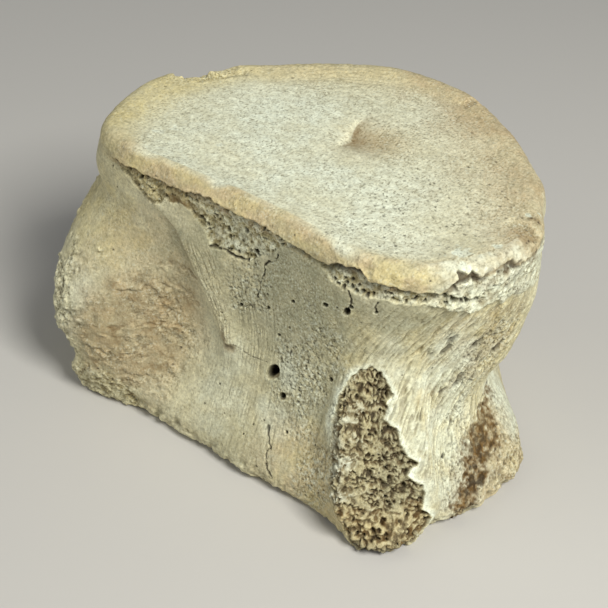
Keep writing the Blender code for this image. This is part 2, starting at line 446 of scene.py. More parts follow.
@dataclass
class Area:
    """A rectangle of the skin that a relief works on."""

    skin: "Skin"
    rows: slice
    columns: slice

    @property
    def points(self) -> Grid:
        """Places of the uncarved skin."""
        return self.skin.place[self.rows, self.columns]

    @property
    def angle(self) -> Grid:
        """Direction of each column, as a row of numbers."""
        return self.skin.angle[None, self.columns]

    @property
    def level(self) -> Grid:
        """Height of the uncarved skin."""
        return self.points[..., 2]

    @property
    def radius(self) -> Grid:
        """Distance of the uncarved skin from the axis."""
        return np.hypot(self.points[..., 0], self.points[..., 1])

    def grids(self) -> tuple:
        """Places, angles and levels of the uncarved skin."""
        return self.points, self.angle, self.level

    def lift(self, amount: Grid) -> None:
        """Moves the skin outwards, or inwards by a negative amount."""
        self.skin.offset[self.rows, self.columns] += amount

    def mark(self, mark: Mark, amount: Grid) -> None:
        """Strengthens a mark to at least an amount."""
        held = self.skin.marks[mark][self.rows, self.columns]
        np.maximum(held, amount, out=held)

    def clear(self, mark: Mark, share: Grid) -> None:
        """Weakens a mark by a share of itself."""
        self.skin.marks[mark][self.rows, self.columns] *= 1 - np.clip(share, 0.0, 1.0)


class Skin:
    """The bone's whole surface, with how far it is carved and what it is marked with."""

    def __init__(self) -> None:
        """Lays out the rows and columns on the uncarved form."""
        self.angle = stepped(COLUMN_SPANS)
        quarter = (1 - np.cos(np.linspace(0, math.pi / 2, RIM_ROWS, endpoint=False))) * RIM_RADIUS
        wall = stepped(LEVEL_SPANS)
        self.wall_levels = np.concatenate([quarter, wall, HEIGHT - quarter[::-1]])
        foot = np.linspace(0, 1, FOOT_ROWS, endpoint=False)
        border = np.linspace(1, CROWN_BORDER, BORDER_ROWS, endpoint=False)[1:]
        disc = np.linspace(CROWN_BORDER, 0, DISC_ROWS)
        crown = np.concatenate([border, disc])
        sizes = (len(foot), len(self.wall_levels), len(crown))
        self.side = np.repeat([Side.FOOT.value, Side.WALL.value, Side.CROWN.value], sizes)
        self.share = np.concatenate([foot, np.ones(sizes[1]), crown])
        self.first_wall_row = sizes[0]
        self.place = self._uncarved(foot, crown)
        self.level = np.repeat([0.0, 0.0, HEIGHT], sizes)
        self.level[sizes[0] : sizes[0] + sizes[1]] = self.wall_levels
        self.normal = self._normals()
        self.offset = np.zeros(self.place.shape[:2])
        self.marks = {mark: np.zeros(self.place.shape[:2]) for mark in Mark}

    def _uncarved(self, foot: Grid, crown: Grid) -> Grid:
        """Lays out the uncarved skin.

        Args:
            foot: Shares of the foot's reach where its rows lie.
            crown: The same for the crown's rows.

        Returns:
            A grid of places, row by row.
        """
        radius = wall_radius(self.angle, self.wall_levels)
        around = np.stack([np.cos(np.radians(self.angle)), np.sin(np.radians(self.angle))], axis=-1)
        wall = np.empty((*radius.shape, 3))
        wall[..., :2] = radius[..., None] * around
        wall[..., 2] = self.wall_levels[:, None]
        foot_face = foot[:, None, None] * wall[0]
        crown_face = DIMPLE + crown[:, None, None] * (wall[-1] - DIMPLE)
        away = np.hypot(*(crown_face[..., axis] - DIMPLE[axis] for axis in range(2)))
        crown_face[..., 2] -= DIMPLE_DEPTH * bell(away / DIMPLE_RADIUS)
        crown_face[..., 2] -= DISH_DEPTH * ramp(1 - crown, 0.0, 1 - DISH_SHARE)[:, None]
        return np.concatenate([foot_face, wall, crown_face])

    def _normals(self) -> Grid:
        """Works out which way the skin faces.

        Returns:
            A grid of outward directions, each 1 long.
        """
        ring = self.place[:, :-1]
        along = np.roll(ring, -1, axis=1) - np.roll(ring, 1, axis=1)
        along = np.concatenate([along, along[:, :1]], axis=1)
        normal = np.cross(along, np.gradient(self.place, axis=0))
        normal[0] = (0.0, 0.0, -1.0)
        normal[-1] = (0.0, 0.0, 1.0)
        return normal / np.linalg.norm(normal, axis=-1, keepdims=True)

    def row(self, level: float) -> int:
        """The wall's row at a height."""
        return self.first_wall_row + int(np.abs(self.wall_levels - level).argmin())

    def crown_row(self, share: float) -> int:
        """The crown's row at a share of its reach."""
        held = np.where(self.side == Side.CROWN.value, np.abs(self.share - share), np.inf)
        return int(held.argmin())

    def column(self, angle: float) -> int:
        """The column at an angle from the seam to the seam."""
        return int(np.abs(self.angle - angle).argmin())

    def wall(self, start: float, stop: float, low: float, high: float) -> Area:
        """The area of the wall between two angles and two heights."""
        rows = slice(self.row(low), self.row(high) + 1)
        return Area(self, rows, slice(self.column(start), self.column(stop) + 1))

    def whole(self) -> Area:
        """The area that takes in all of the skin."""
        return Area(self, slice(None), slice(None))

    def foot(self) -> Area:
        """The area of the lower end face."""
        return Area(self, slice(0, self.first_wall_row), slice(None))

    def crown(self, share: float = 0.0) -> Area:
        """The area of the upper end face and its rounded rim, outside a share of its reach."""
        rows = slice(self.row(HEIGHT - PLATE), self.crown_row(share) + 1)
        return Area(self, rows, slice(None))

    def finish(self) -> None:
        """Closes the seam, keeps the foot level and works out which places are raised."""
        for grid in (self.offset, *self.marks.values()):
            grid[:, -1] = grid[:, 0]
            grid[0] = grid[0].mean()
            grid[-1] = grid[-1].mean()
        self.marks[RAISED] = self._raised()
        self.place = self.place + self.offset[..., None] * self.normal
        self.place[..., 2] = np.clip(self.place[..., 2], 0.0, HEIGHT)
        self.normal = self._normals()

    def _raised(self) -> Grid:
        """Compares the carving with the ground round each place.

        Returns:
            A grid of 0 in a crease to 1 on a crest.
        """
        calm = self.offset
        total = np.full(calm.shape, 0.5)
        for reach, span in CALM_STEPS:
            for _ in range(CALM_PASSES):
                calm = blurred(calm, reach)
            total += (self.offset - calm) / span
        return np.clip(total, 0.0, 1.0)


CALM_PASSES = 5                    # how often the carving is averaged to tell crests from creases
CALM_STEPS = ((1, 0.9), (3, 3.0))  # cells between averaged values, and the height told apart


def blurred(grid: Grid, reach: int) -> Grid:
    """A grid averaged with its neighbours, round the bone without a seam.

    Args:
        grid: Values for each row and column of the skin.
        reach: How many cells away the neighbours are.

    Returns:
        The averaged grid.
    """
    ring = grid[:, :-1]
    across = (np.roll(ring, reach, axis=1) + ring + np.roll(ring, -reach, axis=1)) / 3
    padded = np.pad(across, ((reach, reach), (0, 0)), mode="edge")
    both = (padded[: -2 * reach] + padded[reach:-reach] + padded[2 * reach :]) / 3
    return np.concatenate([both, both[:, :1]], axis=1)


# ---- Reliefs ----


def line_distance(u: Grid, v: Grid, points: tuple, scale: float) -> Grid:
    """Distance from places on the wall to a bent line.

    Args:
        u: Angles of the places.
        v: Heights of the places.
        points: Corners of the line, each an angle and a height.
        scale: Length of a degree round the bone there.

    Returns:
        Distances in millimetres.
    """
    best = np.full(np.broadcast(u, v).shape, np.inf)
    for (u0, v0), (u1, v1) in zip(points, points[1:]):
        du, dv = (u1 - u0) * scale, v1 - v0
        pu, pv = (u - u0) * scale, v - v0
        share = np.clip((pu * du + pv * dv) / (du * du + dv * dv), 0, 1)
        best = np.minimum(best, np.hypot(pu - share * du, pv - share * dv))
    return best


def inside_outline(u: Grid, v: Grid, points: tuple) -> Grid:
    """Tells which places on the wall lie inside a closed outline.

    Args:
        u: Angles of the places.
        v: Heights of the places.
        points: Corners of the outline, each an angle and a height.

    Returns:
        A grid of yes or no.
    """
    inside = np.zeros(np.broadcast(u, v).shape, dtype=bool)
    for (u0, v0), (u1, v1) in zip(points, points[1:] + points[:1]):
        if v0 == v1:
            continue
        crossing = u0 + (v - v0) * (u1 - u0) / (v1 - v0)
        inside ^= ((v0 > v) != (v1 > v)) & (u < crossing)
    return inside


def pores(points: Grid, size: float, share: float, seed: int) -> Grid:
    """Round pores of mixed widths: 1 in a pore and 0 between them.

    Args:
        points: Places on the skin.
        size: Distance between two pores.
        share: Part of the pores that are open.
        seed: Chooses the set.

    Returns:
        How deep each place lies in a pore, from 0 to 1.
    """
    packed = cells(points, size, seed)
    radius = 0.22 + 0.26 * packed.own / max(share, 0.05)
    return fall(packed.near, radius * 0.6, radius * 1.15) * (packed.own < share)


@dataclass(frozen=True)
class Patch:
    """An oval area of the wall."""

    angle: float
    half_angle: float
    level: float
    half_height: float

    def area(self, skin: Skin, spread: float = 1.7) -> Area:
        """The area round the patch, all round the bone where it would cross the seam.

        Args:
            skin: The bone's skin.
            spread: How far the area reaches, as a share of the patch's size.

        Returns:
            The area.
        """
        side, up = spread * self.half_angle, spread * self.half_height
        start, stop = self.angle - side, self.angle + side
        if start < SEAM or stop > SEAM + 360:
            start, stop = SEAM, SEAM + 360
        return skin.wall(start, stop, max(self.level - up, 0), min(self.level + up, HEIGHT))

    def reach(self, area: Area) -> Grid:
        """Distance from the middle as a share of the patch's size: 1 on its border."""
        side = turn(area.angle, self.angle) / self.half_angle
        return np.hypot(side, (area.level - self.level) / self.half_height)

    def within(self, area: Area, seed: int, ragged: float = 0.35) -> Grid:
        """1 inside the patch and 0 outside, with a ragged border."""
        waver = ragged * fractal(area.points, 7, seed, 2)
        return fall(self.reach(area) + waver, 0.7, 1.25)


@dataclass(frozen=True)
class Weathering:
    """Low waves and fine roughness all over the bone."""

    swell: float = 0.34
    swell_length: float = 22.0
    grain: float = 0.10
    grain_length: float = 2.4

    def carve(self, skin: Skin) -> None:
        """Roughens the whole skin.

        Args:
            skin: The bone's skin.
        """
        area = skin.whole()
        amount = self.swell * fractal(area.points, self.swell_length, 11)
        amount += self.grain * fractal(area.points, self.grain_length, 21)
        area.lift(amount - 0.2)
        area.mark(PORES, 0.35 + 0.35 * fractal(area.points, 9, 22))


@dataclass(frozen=True)
class Dots:
    """Single small holes, scattered over the whole bone."""

    spacing: float = 6.0
    radius: float = 0.40
    depth: float = 0.5

    def carve(self, skin: Skin) -> None:
        """Sinks the holes and paints shade in them.

        Args:
            skin: The bone's skin.
        """
        area = skin.whole()
        packed = cells(area.points, self.spacing, 31)
        wide = self.radius * (0.5 + 0.6 * packed.own) / self.spacing
        hole = fall(packed.near, wide * 0.6, wide * 1.2)
        area.lift(-self.depth * hole)
        # painted shade in the holes
        area.mark(PIT, 0.9 * hole)


@dataclass(frozen=True)
class Fibres:
    """A field of grooves and crests that run up the wall."""

    patch: Patch
    lean: float   # degrees round the bone for each millimetre up
    width: float  # of a groove
    length: float
    depth: float
    seed: int
    # strength of the brown and yellow stain, of the painted shade in the grooves and slits, and of the
    # painted highlight on the crests
    stain_and_painted_light: float = 0.0
    radius: float = 60.0  # of the wall, roughly

    def carve(self, skin: Skin) -> None:
        """Cuts the grooves, fading towards the field's border, with painted shade in them and painted
        highlights on the crests.

        Args:
            skin: The bone's skin.
        """
        area = self.patch.area(skin, 1.9)
        within = bell(self.patch.reach(area), 4)
        twisted = np.radians(area.angle - self.lean * (area.level - self.patch.level))
        around = self.radius / self.width
        run = stacked(around * np.cos(twisted), around * np.sin(twisted), area.level / self.length)
        wave = noise(run, 1, self.seed) + 0.45 * noise(run, 0.45, self.seed + 1)
        patchy = 0.15 + 0.85 * ramp(fractal(area.points, 9, self.seed + 2), -0.35, 0.35)
        groove = ramp(wave, 0.12, 0.55) * patchy
        crest = ramp(-wave, 0, 0.8) * 0.4
        area.lift(self.depth * within * (crest - groove))
        # brown in the grooves: stain and painted shade
        area.mark(BROWN, self.stain_and_painted_light * within * groove)
        slit = pores(run * (0.5, 0.5, 0.8), 1, 0.14, self.seed + 7) * within
        area.lift(-0.8 * self.depth * slit)
        # painted shade in the slits
        area.mark(PIT, min(1, 1.6 * self.stain_and_painted_light) * slit)
        streak = ramp(noise(run * (0.45, 0.45, 0.6), 1, self.seed + 5), 0, 0.5)
        area.mark(YELLOW, min(1, 1.6 * self.stain_and_painted_light) * within * streak)
        # pale on the crests: painted highlight
        area.mark(PALE, self.stain_and_painted_light * within * ramp(-wave, 0.2, 0.8))
        # painted shade deep in the grooves
        area.mark(PIT, 0.6 * self.stain_and_painted_light * within * patchy * ramp(wave, 0.5, 1))


@dataclass(frozen=True)
class PitField:
    """A patch of crackled bone with small open pores."""

    patch: Patch
    size: float  # distance between pores
    depth: float
    share: float  # part of the pores that are open
    seed: int
    # strength of the painted shade in the pores and cracks
    dark: float = 0.7

    def carve(self, skin: Skin) -> None:
        """Sinks the pores and short cracks into the skin and paints shade in them.

        Args:
            skin: The bone's skin.
        """
        area = self.patch.area(skin)
        points = area.points
        waver = 0.6 * fractal(points, 9, self.seed, 3)
        within = fall(self.patch.reach(area) + waver, 0.35, 1.35)
        hole = pores(points, self.size, self.share, self.seed + 3) * within
        line = np.abs(noise(points * (1, 1, 0.75), self.size * 1.5, self.seed + 8))
        thick = ramp(noise(points, 4, self.seed + 9), -0.5, 0.4)
        crackle = fall(line, 0, 0.13) * within * thick
        specks = ramp(noise(points, 0.95, self.seed + 14), 0.4, 0.8) * within
        hole = np.maximum(hole, 0.7 * specks)
        area.lift(-self.depth * np.maximum(hole, 0.6 * crackle))
        area.lift(0.2 * within * fractal(points, 1.6, self.seed + 10, 2))
        area.mark(PALE, 0.55 * within * ramp(noise(points, 1.3, self.seed + 13), 0.15, 0.6))
        # painted shade in the pores and cracks
        area.mark(PIT, self.dark * np.maximum(hole, 0.45 * crackle))
        area.mark(PORES, within)


@dataclass(frozen=True)
class Foramen:
    """A hole in the wall where a vessel went in."""

    angle: float
    level: float
    radius: float
    depth: float
    tall: float = 1.0   # height of the hole over its width
    lip: float = 0.0    # how strong the worn slope at its lower left is
    lean: float = 0.42  # how far the hole slants, as a share of its width

    def carve(self, skin: Skin) -> None:
        """Sinks the hole, with an uneven edge.

        Args:
            skin: The bone's skin.
        """
        reach = self.radius * max(self.tall, 1) * 2.6
        spread = math.degrees(reach / 42)
        area = skin.wall(
            self.angle - spread, self.angle + spread, self.level - reach, self.level + reach
        )
        across = np.radians(turn(area.angle, self.angle)) * area.radius / self.radius
        up = (area.level - self.level) / (self.radius * self.tall) - self.lean * across
        away = np.hypot(across, up) + 0.08 * noise(area.points, self.radius * 1.1, 33)
        hole = fall(away, 0.72, 1.06)
        shore = ramp(0.5 * across - 0.8 * up, 0.1, 0.6) * self.lip
        area.lift(-self.depth * hole * (1 - 0.8 * shore))
        # painted shade in the hole, less on the worn slope at its lower left
        area.mark(PIT, fall(away, 0.85, 1.12) * (1 - 0.85 * shore))
        area.mark(BROWN, 0.8 * hole * shore)
        beside = bell((away - 1.3) / 0.22) * ramp(-0.5 * across - up, 0.2, 1)
        area.mark(PALE, 0.2 * beside)


@dataclass(frozen=True)
class Crack:
    """A fine crack that wanders along a line."""

    points: tuple
    width: float
    depth: float
    wander: float = 0.8
    # strength of the painted shade in the crack
    dark: float = 0.9

    def carve(self, skin: Skin) -> None:
        """Cuts the crack and paints shade in it.

        Args:
            skin: The bone's skin.
        """
        angles, levels = zip(*self.points)
        area = skin.wall(
            min(angles) - 4, max(angles) + 4, max(min(levels) - 4, 0), min(max(levels) + 4, HEIGHT)
        )
        shift = self.wander * fractal(area.points, 2.6, 41)
        scale = DEGREE * 52
        away = line_distance(area.angle + shift / scale, area.level, self.points, scale)
        narrow = self.width * (0.35 + ramp(noise(area.points, 2, 43), -0.6, 0.5))
        cut = fall(away, narrow * 0.3, narrow * 1.2)
        area.lift(-self.depth * cut)
        # painted shade in the crack
        area.mark(PIT, self.dark * cut)


@dataclass(frozen=True)
class WornStrip:
    """The strip below the upper plate's front edge, where the wall has broken away."""

    upper: tuple = (  # the plate's broken lower edge, by angle and height
        (-139, 85.6), (-133, 86.5), (-128, 86.2), (-121, 86.4), (-111, 88),
        (-103, 88), (-98, 87.4), (-87, 88.2), (-76, 87.4), (-69.5, 86.6), (-64, 85.6),
        (-58, 85.2), (-55, 87.6), (-49, 88), (-46.8, 85.6), (-42, 86.2), (-34, 85),
        (-25, 83), (-18, 80),
    )
    lower: tuple = (  # where the sound wall begins again
        (-139, 85.3), (-137, 81.8), (-133, 77.8), (-130.5, 75), (-126, 79.5),
        (-120, 80.4), (-116, 77.6), (-112, 73.6), (-108.2, 69.8), (-101, 72.6),
        (-96, 71.9), (-91, 72.3), (-86, 75.4), (-80, 78.7), (-74.5, 84.6), (-68, 85.4),
        (-60, 82.4), (-56.4, 79.9), (-48.8, 78.6), (-42, 80.2), (-30, 80.4), (-24, 79.5),
        (-18, 79),
    )
    start: float = -141.0
    stop: float = -18.0
    low: float = 66.0
    high: float = 90.5
    depth: float = 0.7
    crevice: float = 2.0  # extra depth right below the plate
    crevice_height: float = 1.6
    arch: tuple = (-53, 6.5)  # middle and half width of the deep arch
    arch_depth: float = 1.2
    arch_holes: tuple = (  # angle, height and radius
        (-56.2, 80.6, 0.55), (-54.8, 80, 0.6), (-53.3, 79.3, 0.7), (-52.9, 80.9, 0.55),
        (-51.2, 80.5, 0.7), (-49.9, 79.8, 0.6), (-48.5, 80.2, 0.7), (-47.2, 79.7, 0.6),
        (-51.8, 82.2, 0.6), (-53.5, 82.2, 0.5), (-49.6, 81.9, 0.45), (-46, 80.6, 0.5),
    )
    pore_depth: float = 1.3

    def carve(self, skin: Skin) -> None:
        """Sinks the strip below a ragged edge and opens its pores.

        Args:
            skin: The bone's skin.
        """
        area = skin.wall(self.start, self.stop, self.low, self.high)
        points, angle, level = area.grids()
        top = read_line(angle, self.upper) + 0.45 * noise(points, 4, 51)
        top = top + 0.45 * noise(points, 1.5, 52)
        low = read_line(angle, self.lower) + 0.9 * noise(points, 4.5, 53)
        low = low + 0.6 * noise(points, 1.5, 54)
        below, above = top - level, level - low
        span = ramp(turn(angle, self.start), 0, 2) * ramp(-turn(angle, self.stop), 0, 6)
        open_bone = ramp(below, 0, 0.35) * ramp(above, 0, 0.4) * span
        crevice = ramp(below, 0, 0.3) * bell(below / self.crevice_height) * span
        crevice = crevice * (0.55 + 0.45 * ramp(noise(points, 6, 50), -0.5, 0.3))
        arch = bell((angle - self.arch[0]) / self.arch[1], 4) * open_bone
        arch = arch * ramp(below, 0, 1) * fall(below, 3, 7)
        rubble = fractal(points, 2.4, 55, 4)
        lumps = noise(points, 5, 56)
        thick = ramp(noise(points, 5.5, 58), -0.35, 0.25)
        warped = points + 0.5 * stacked(*(noise(points, 1.6, 57 + 30 * axis) for axis in range(3)))
        hole = np.maximum(pores(warped, 2.1, 0.4, 59), 0.8 * pores(warped, 1.15, 0.4, 63) * thick)
        hole = hole * open_bone * (1 - bell((angle - self.arch[0]) / (self.arch[1] + 1.5), 4))
        scale = DEGREE * 54
        for middle, height, radius in self.arch_holes:
            away = np.hypot((angle - middle) * scale, (level - height) * 0.8) / (0.8 * radius)
            hole = np.maximum(hole, 0.85 * fall(away + 0.2 * noise(points, 1, 67), 0.6, 1.2))
        sink = open_bone * (self.depth + 0.55 * lumps - 0.85 * rubble)
        sink = sink + crevice * (self.crevice - 0.5 * rubble) + self.arch_depth * arch
        area.lift(-sink - self.pore_depth * hole * (1 - 0.6 * arch))
        area.lift(0.35 * bell(np.minimum(below, 0) / 1.8) * ramp(-below, -0.05, 0.3) * span)
        crease = open_bone * ramp(-rubble, 0.1, 0.55)
        left = fall(angle, -122, -104)
        # gloom: painted shadow right below the plate's overhanging edge, and deeper in the arch
        gloom = crevice * (0.9 + 0.1 * left) * (0.7 + 0.4 * ramp(-rubble, -0.5, 0.5))
        gloom = np.maximum(gloom, arch * fall(below, 1.6, 4.2) * 0.85)
        # painted shade in the pores, under the plate and in the rubble's creases
        area.mark(PIT, np.clip(np.maximum(np.maximum(hole, gloom), 0.22 * crease), 0, 1))
        area.mark(PALE, open_bone * 0.72 * ramp(rubble, -0.4, 0.3) * (1 - left))
        orange = bell(turn(angle, -121.5) / 4) * bell((level - 80.5) / 2.6)
        warm = ramp(noise(points, 4.5, 66), 0, 0.5)
        area.clear(PIT, 0.5 * orange)
        area.mark(BROWN, open_bone * np.clip(0.18 * warm + 0.1 * left + orange, 0, 1))
        area.mark(PORES, open_bone)
        area.clear(GREY, open_bone)
        area.clear(TAN, 0.6 * open_bone)
        area.mark(YELLOW, 0.7 * open_bone)


@dataclass(frozen=True)
class SpongyFace:
    """The broken end of the left pedicle: open spongy bone inside a thin rim of cortex."""

    outline: tuple = (  # by angle and height, clockwise from the top
        (-46.5, 51.8), (-43, 53.4), (-40, 51.4), (-37.4, 46.8), (-36.4, 44.4), (-38.4, 42.4),
        (-38.2, 40.5), (-39.4, 37.6), (-36.2, 35.2), (-35.3, 30.7), (-33.8, 27.6), (-31.2, 25.6),
        (-33.7, 23.6), (-34.5, 22.4), (-31, 19.4), (-30.7, 15.3), (-31.4, 12.6), (-29.2, 9.8),
        (-30.6, 5), (-33.5, 1.5), (-38, -3), (-46, -3), (-48.2, 4.5), (-50.3, 9.7),
        (-52.2, 13.9), (-53.3, 19.1), (-53.4, 27), (-53.1, 34.7), (-51.6, 43.5), (-49, 49.2),
    )
    scale: float = DEGREE * 70.0
    step: float = 1.0  # how far the open bone lies below the cortex
    cell: float = 1.5
    depth: float = 1.3

    def trabeculae(
        self, points: Grid, stretch: tuple, size: float, round_share: float, seed: int
    ) -> Grid:
        """How open and how high the bone is at each place.

        Args:
            points: Places on the skin.
            stretch: How densely the cells are packed along each axis.
            size: Rough width of a cell.
            round_share: 0 for winding crevices to 1 for round cells.
            seed: Chooses the set of cells.

        Returns:
            Two grids: openness from 0 to 1, and height in millimetres.
        """
        warp = stacked(*(fractal(points, 2.4, seed + 20 + axis) for axis in range(3)))
        warped = (points + 0.8 * warp) * stretch
        lumps = cells(warped, size * 1.05, seed)
        thick = ramp(noise(points, 2.2, seed + 8), -0.7, 0.4)
        crevice = fall(lumps.wall, 0.02, 0.14 + 0.3 * thick) * thick
        rubble = fractal(warped, size * 1.4, seed + 9, 4)
        top = fall(lumps.near, 0.1, 0.75) * (0.4 + 0.6 * lumps.own)
        hole = pores(warped, size * 0.95, 0.4 + 0.4 * round_share, seed + 5)
        crease = ramp(-rubble, 0, 0.6)
        gaps = np.maximum(np.maximum((1 - 0.3 * round_share) * crevice, hole), 0.6 * crease)
        high = rubble + 0.6 * top - 0.8 * crevice - self.depth * hole
        return np.stack([gaps, high])

    def carve(self, skin: Skin) -> None:
        """Sinks the face and opens its cells: tall at the top, flat in the middle, wide below.

        Args:
            skin: The bone's skin.
        """
        area = skin.wall(PEDICLE_START, PEDICLE_STOP, 0, 58)
        points, angle, level = area.grids()
        jagged = angle + 0.3 * noise(points, 1.8, 61)
        high = level + 0.3 * noise(points, 1.8, 62)
        edge = line_distance(jagged, high, self.outline + self.outline[:1], self.scale)
        depth_in = np.where(inside_outline(jagged, high, self.outline), edge, -edge)
        face = ramp(depth_in, -0.05, 0.35)
        right = ramp(angle, -45, -39)
        low = fall(level + 1.5 * noise(points, 6, 63), 11, 17)
        top = ramp(level, 27, 34)
        middle = 1 - np.maximum(low, top)
        open_cells, rubble = (
            top * self.trabeculae(points, (1, 1, 0.6), self.cell, 0, 64)
            + middle * self.trabeculae(points, (0.85, 0.85, 1.2), self.cell * 0.9, 0.2, 74)
            + low * self.trabeculae(points, (0.9, 0.9, 0.9), self.cell * 1.25, 0.8, 84)
        )
        clump = ramp(noise(points, 5, 65) + 0.7 * (angle + 48) / 8, -0.9, 0.3)
        calm = (1 - low) * (1 - clump)
        open_cells = open_cells * (1 - 0.45 * calm)
        lumps = fractal(points, 5, 66, 4)
        step = self.step * (0.1 + 0.95 * right) * ramp(depth_in, -0.05, 0.7)
        area.lift(-face * (step - (1 - 0.4 * calm) * rubble - 0.6 * lumps))
        # painted shade in the open cells
        area.mark(PIT, face * 0.85 * ramp(open_cells, 0.2, 1))
        area.mark(PORES, face * 0.5)
        area.clear(TAN, face * 0.6)
        area.clear(PALE, face)
        area.mark(YELLOW, face * 0.5)
        # grey toning, stronger at the right where the face lies lower than the cortex: partly painted
        # shade
        area.mark(GREY, face * (1 - low) * (0.5 + 0.4 * right))
        orange = low * ramp(noise(points, 4, 68), -0.3, 0.4)
        # brown, stronger in the open cells: stain, and painted shade in the hollows
        hollow = ramp(open_cells, 0.15, 0.6)
        area.mark(BROWN, face * np.clip(0.26 + 0.14 * low + (0.4 + 0.5 * orange) * hollow, 0, 1))
        area.mark(PALE, face * calm * (1 - hollow))
        # greyer and darker towards the foot
        base = low * fall(level, 2.5, 7)
        area.mark(GREY, face * base)
        area.mark(PIT, face * base * (0.25 + 0.25 * noise(points, 2, 70)))
        rim = ramp(-depth_in, -0.15, 0.25) * fall(-depth_in, 0.5, 3)
        upper_left = (1 - right) * ramp(level, 24, 34)
        lip = rim * np.maximum(right * ramp(level, 3, 12), upper_left)
        area.lift(0.4 * lip)
        area.mark(PALE, lip)
        area.clear(GREY, lip)


@dataclass(frozen=True)
class Basin:
    """Thin broken layers and crumbs in the hollow beside the right process."""

    patch: Patch = Patch(-124, 14, 33, 25)
    arcs: tuple = (
        ((-130, 28.5), (-128, 33.7), (-125.5, 35), (-122.9, 36.4), (-117, 34.6)),
        ((-131.3, 46.9), (-129.8, 49.2), (-127.3, 50.2), (-122, 48.5), (-117, 45)),
        ((-129, 54.5), (-124, 57.2), (-120.2, 57.6), (-115.9, 55.8)),
        ((-127, 20.5), (-123, 24), (-117, 23)),
    )
    strengths: tuple = (1.3, 0.8, 1, 0.7)  # of the edge along each arc
    step: float = 0.6

    def carve(self, skin: Skin) -> None:
        """Lays overlapping layers with broken edges, convex upwards, over rough ground.

        Args:
            skin: The bone's skin.
        """
        area = skin.wall(-152, -98, 0, 80)
        points, angle, level = area.grids()
        mask = fall(self.patch.reach(area) + 0.25 * fractal(points, 8, 90), 0.6, 1.2)
        warp = stacked(*(fractal(points, 3, 91 + 5 * axis) for axis in range(3)))
        plates = cells((points + 1.6 * warp) * (0.7, 0.7, 1.2), 3, 92)
        sheet = plates.own - 0.5 * plates.near
        crumbs = ramp(fractal(points, 12, 95), -0.45, 0.15)
        rough = fractal(points, 2.6, 96, 4)
        area.lift(mask * (self.step * sheet * crumbs + 0.48 * rough * crumbs))
        area.lift(mask * 0.4 * fractal(points, 7, 97))
        edge = fall(plates.wall, 0, 0.16)
        area.mark(BROWN, mask * crumbs * 0.32 * edge * ramp(noise(points, 4, 98), -0.4, 0.4))
        # painted shade in the rough ground's creases
        area.mark(PIT, mask * crumbs * 0.3 * ramp(-rough, 0.25, 0.7))
        scale = DEGREE * 58
        wavering = angle + 1.2 * fractal(points, 3, 99) / scale
        uneven = level + 1.6 * fractal(points, 3, 100)
        for number, (arc, strength) in enumerate(zip(self.arcs, self.strengths)):
            distance = line_distance(wavering, uneven, arc, scale)
            strength = strength * ramp(noise(points, 3, 109 + number), -0.5, 0.35)
            inside = level - read_line(angle, arc)
            crest = bell((distance - 0.7) / 0.8) * (inside < 0)
            area.lift(strength * (0.42 * crest - 0.35 * bell(distance / 0.5)))
            # brown along each arc and round it: painted shade below the layer's broken step
            area.mark(BROWN, np.clip(0.5 * strength * bell(distance / 0.6), 0, 1))
            area.mark(BROWN, 0.3 * ramp(noise(points, 2.6, 119), -0.1, 0.5) * bell(distance / 3.5))
        spots = ramp(fractal(points, 6, 107, 4), 0, 0.6)
        right = ramp(angle, -122, -112)
        left = fall(angle, -137, -132)
        area.mark(BROWN, mask * (0.33 + 0.38 * spots) * (1 - 0.85 * right) * (1 - 0.7 * left))
        area.mark(TAN, mask * np.clip(0.75 + 0.35 * rough, 0, 1) * (1 - 0.6 * right))
        # paler on the lobe's left edge, which faces away from the lamps: partly its own pale bone, partly
        # painted light
        area.mark(PALE, 0.45 * left * bell((level - 32) / 16))
        area.mark(GREY, mask * 0.35 * ramp(fractal(points, 9, 108), -0.2, 0.4))
        area.mark(PORES, mask * (0.35 + 0.5 * crumbs))


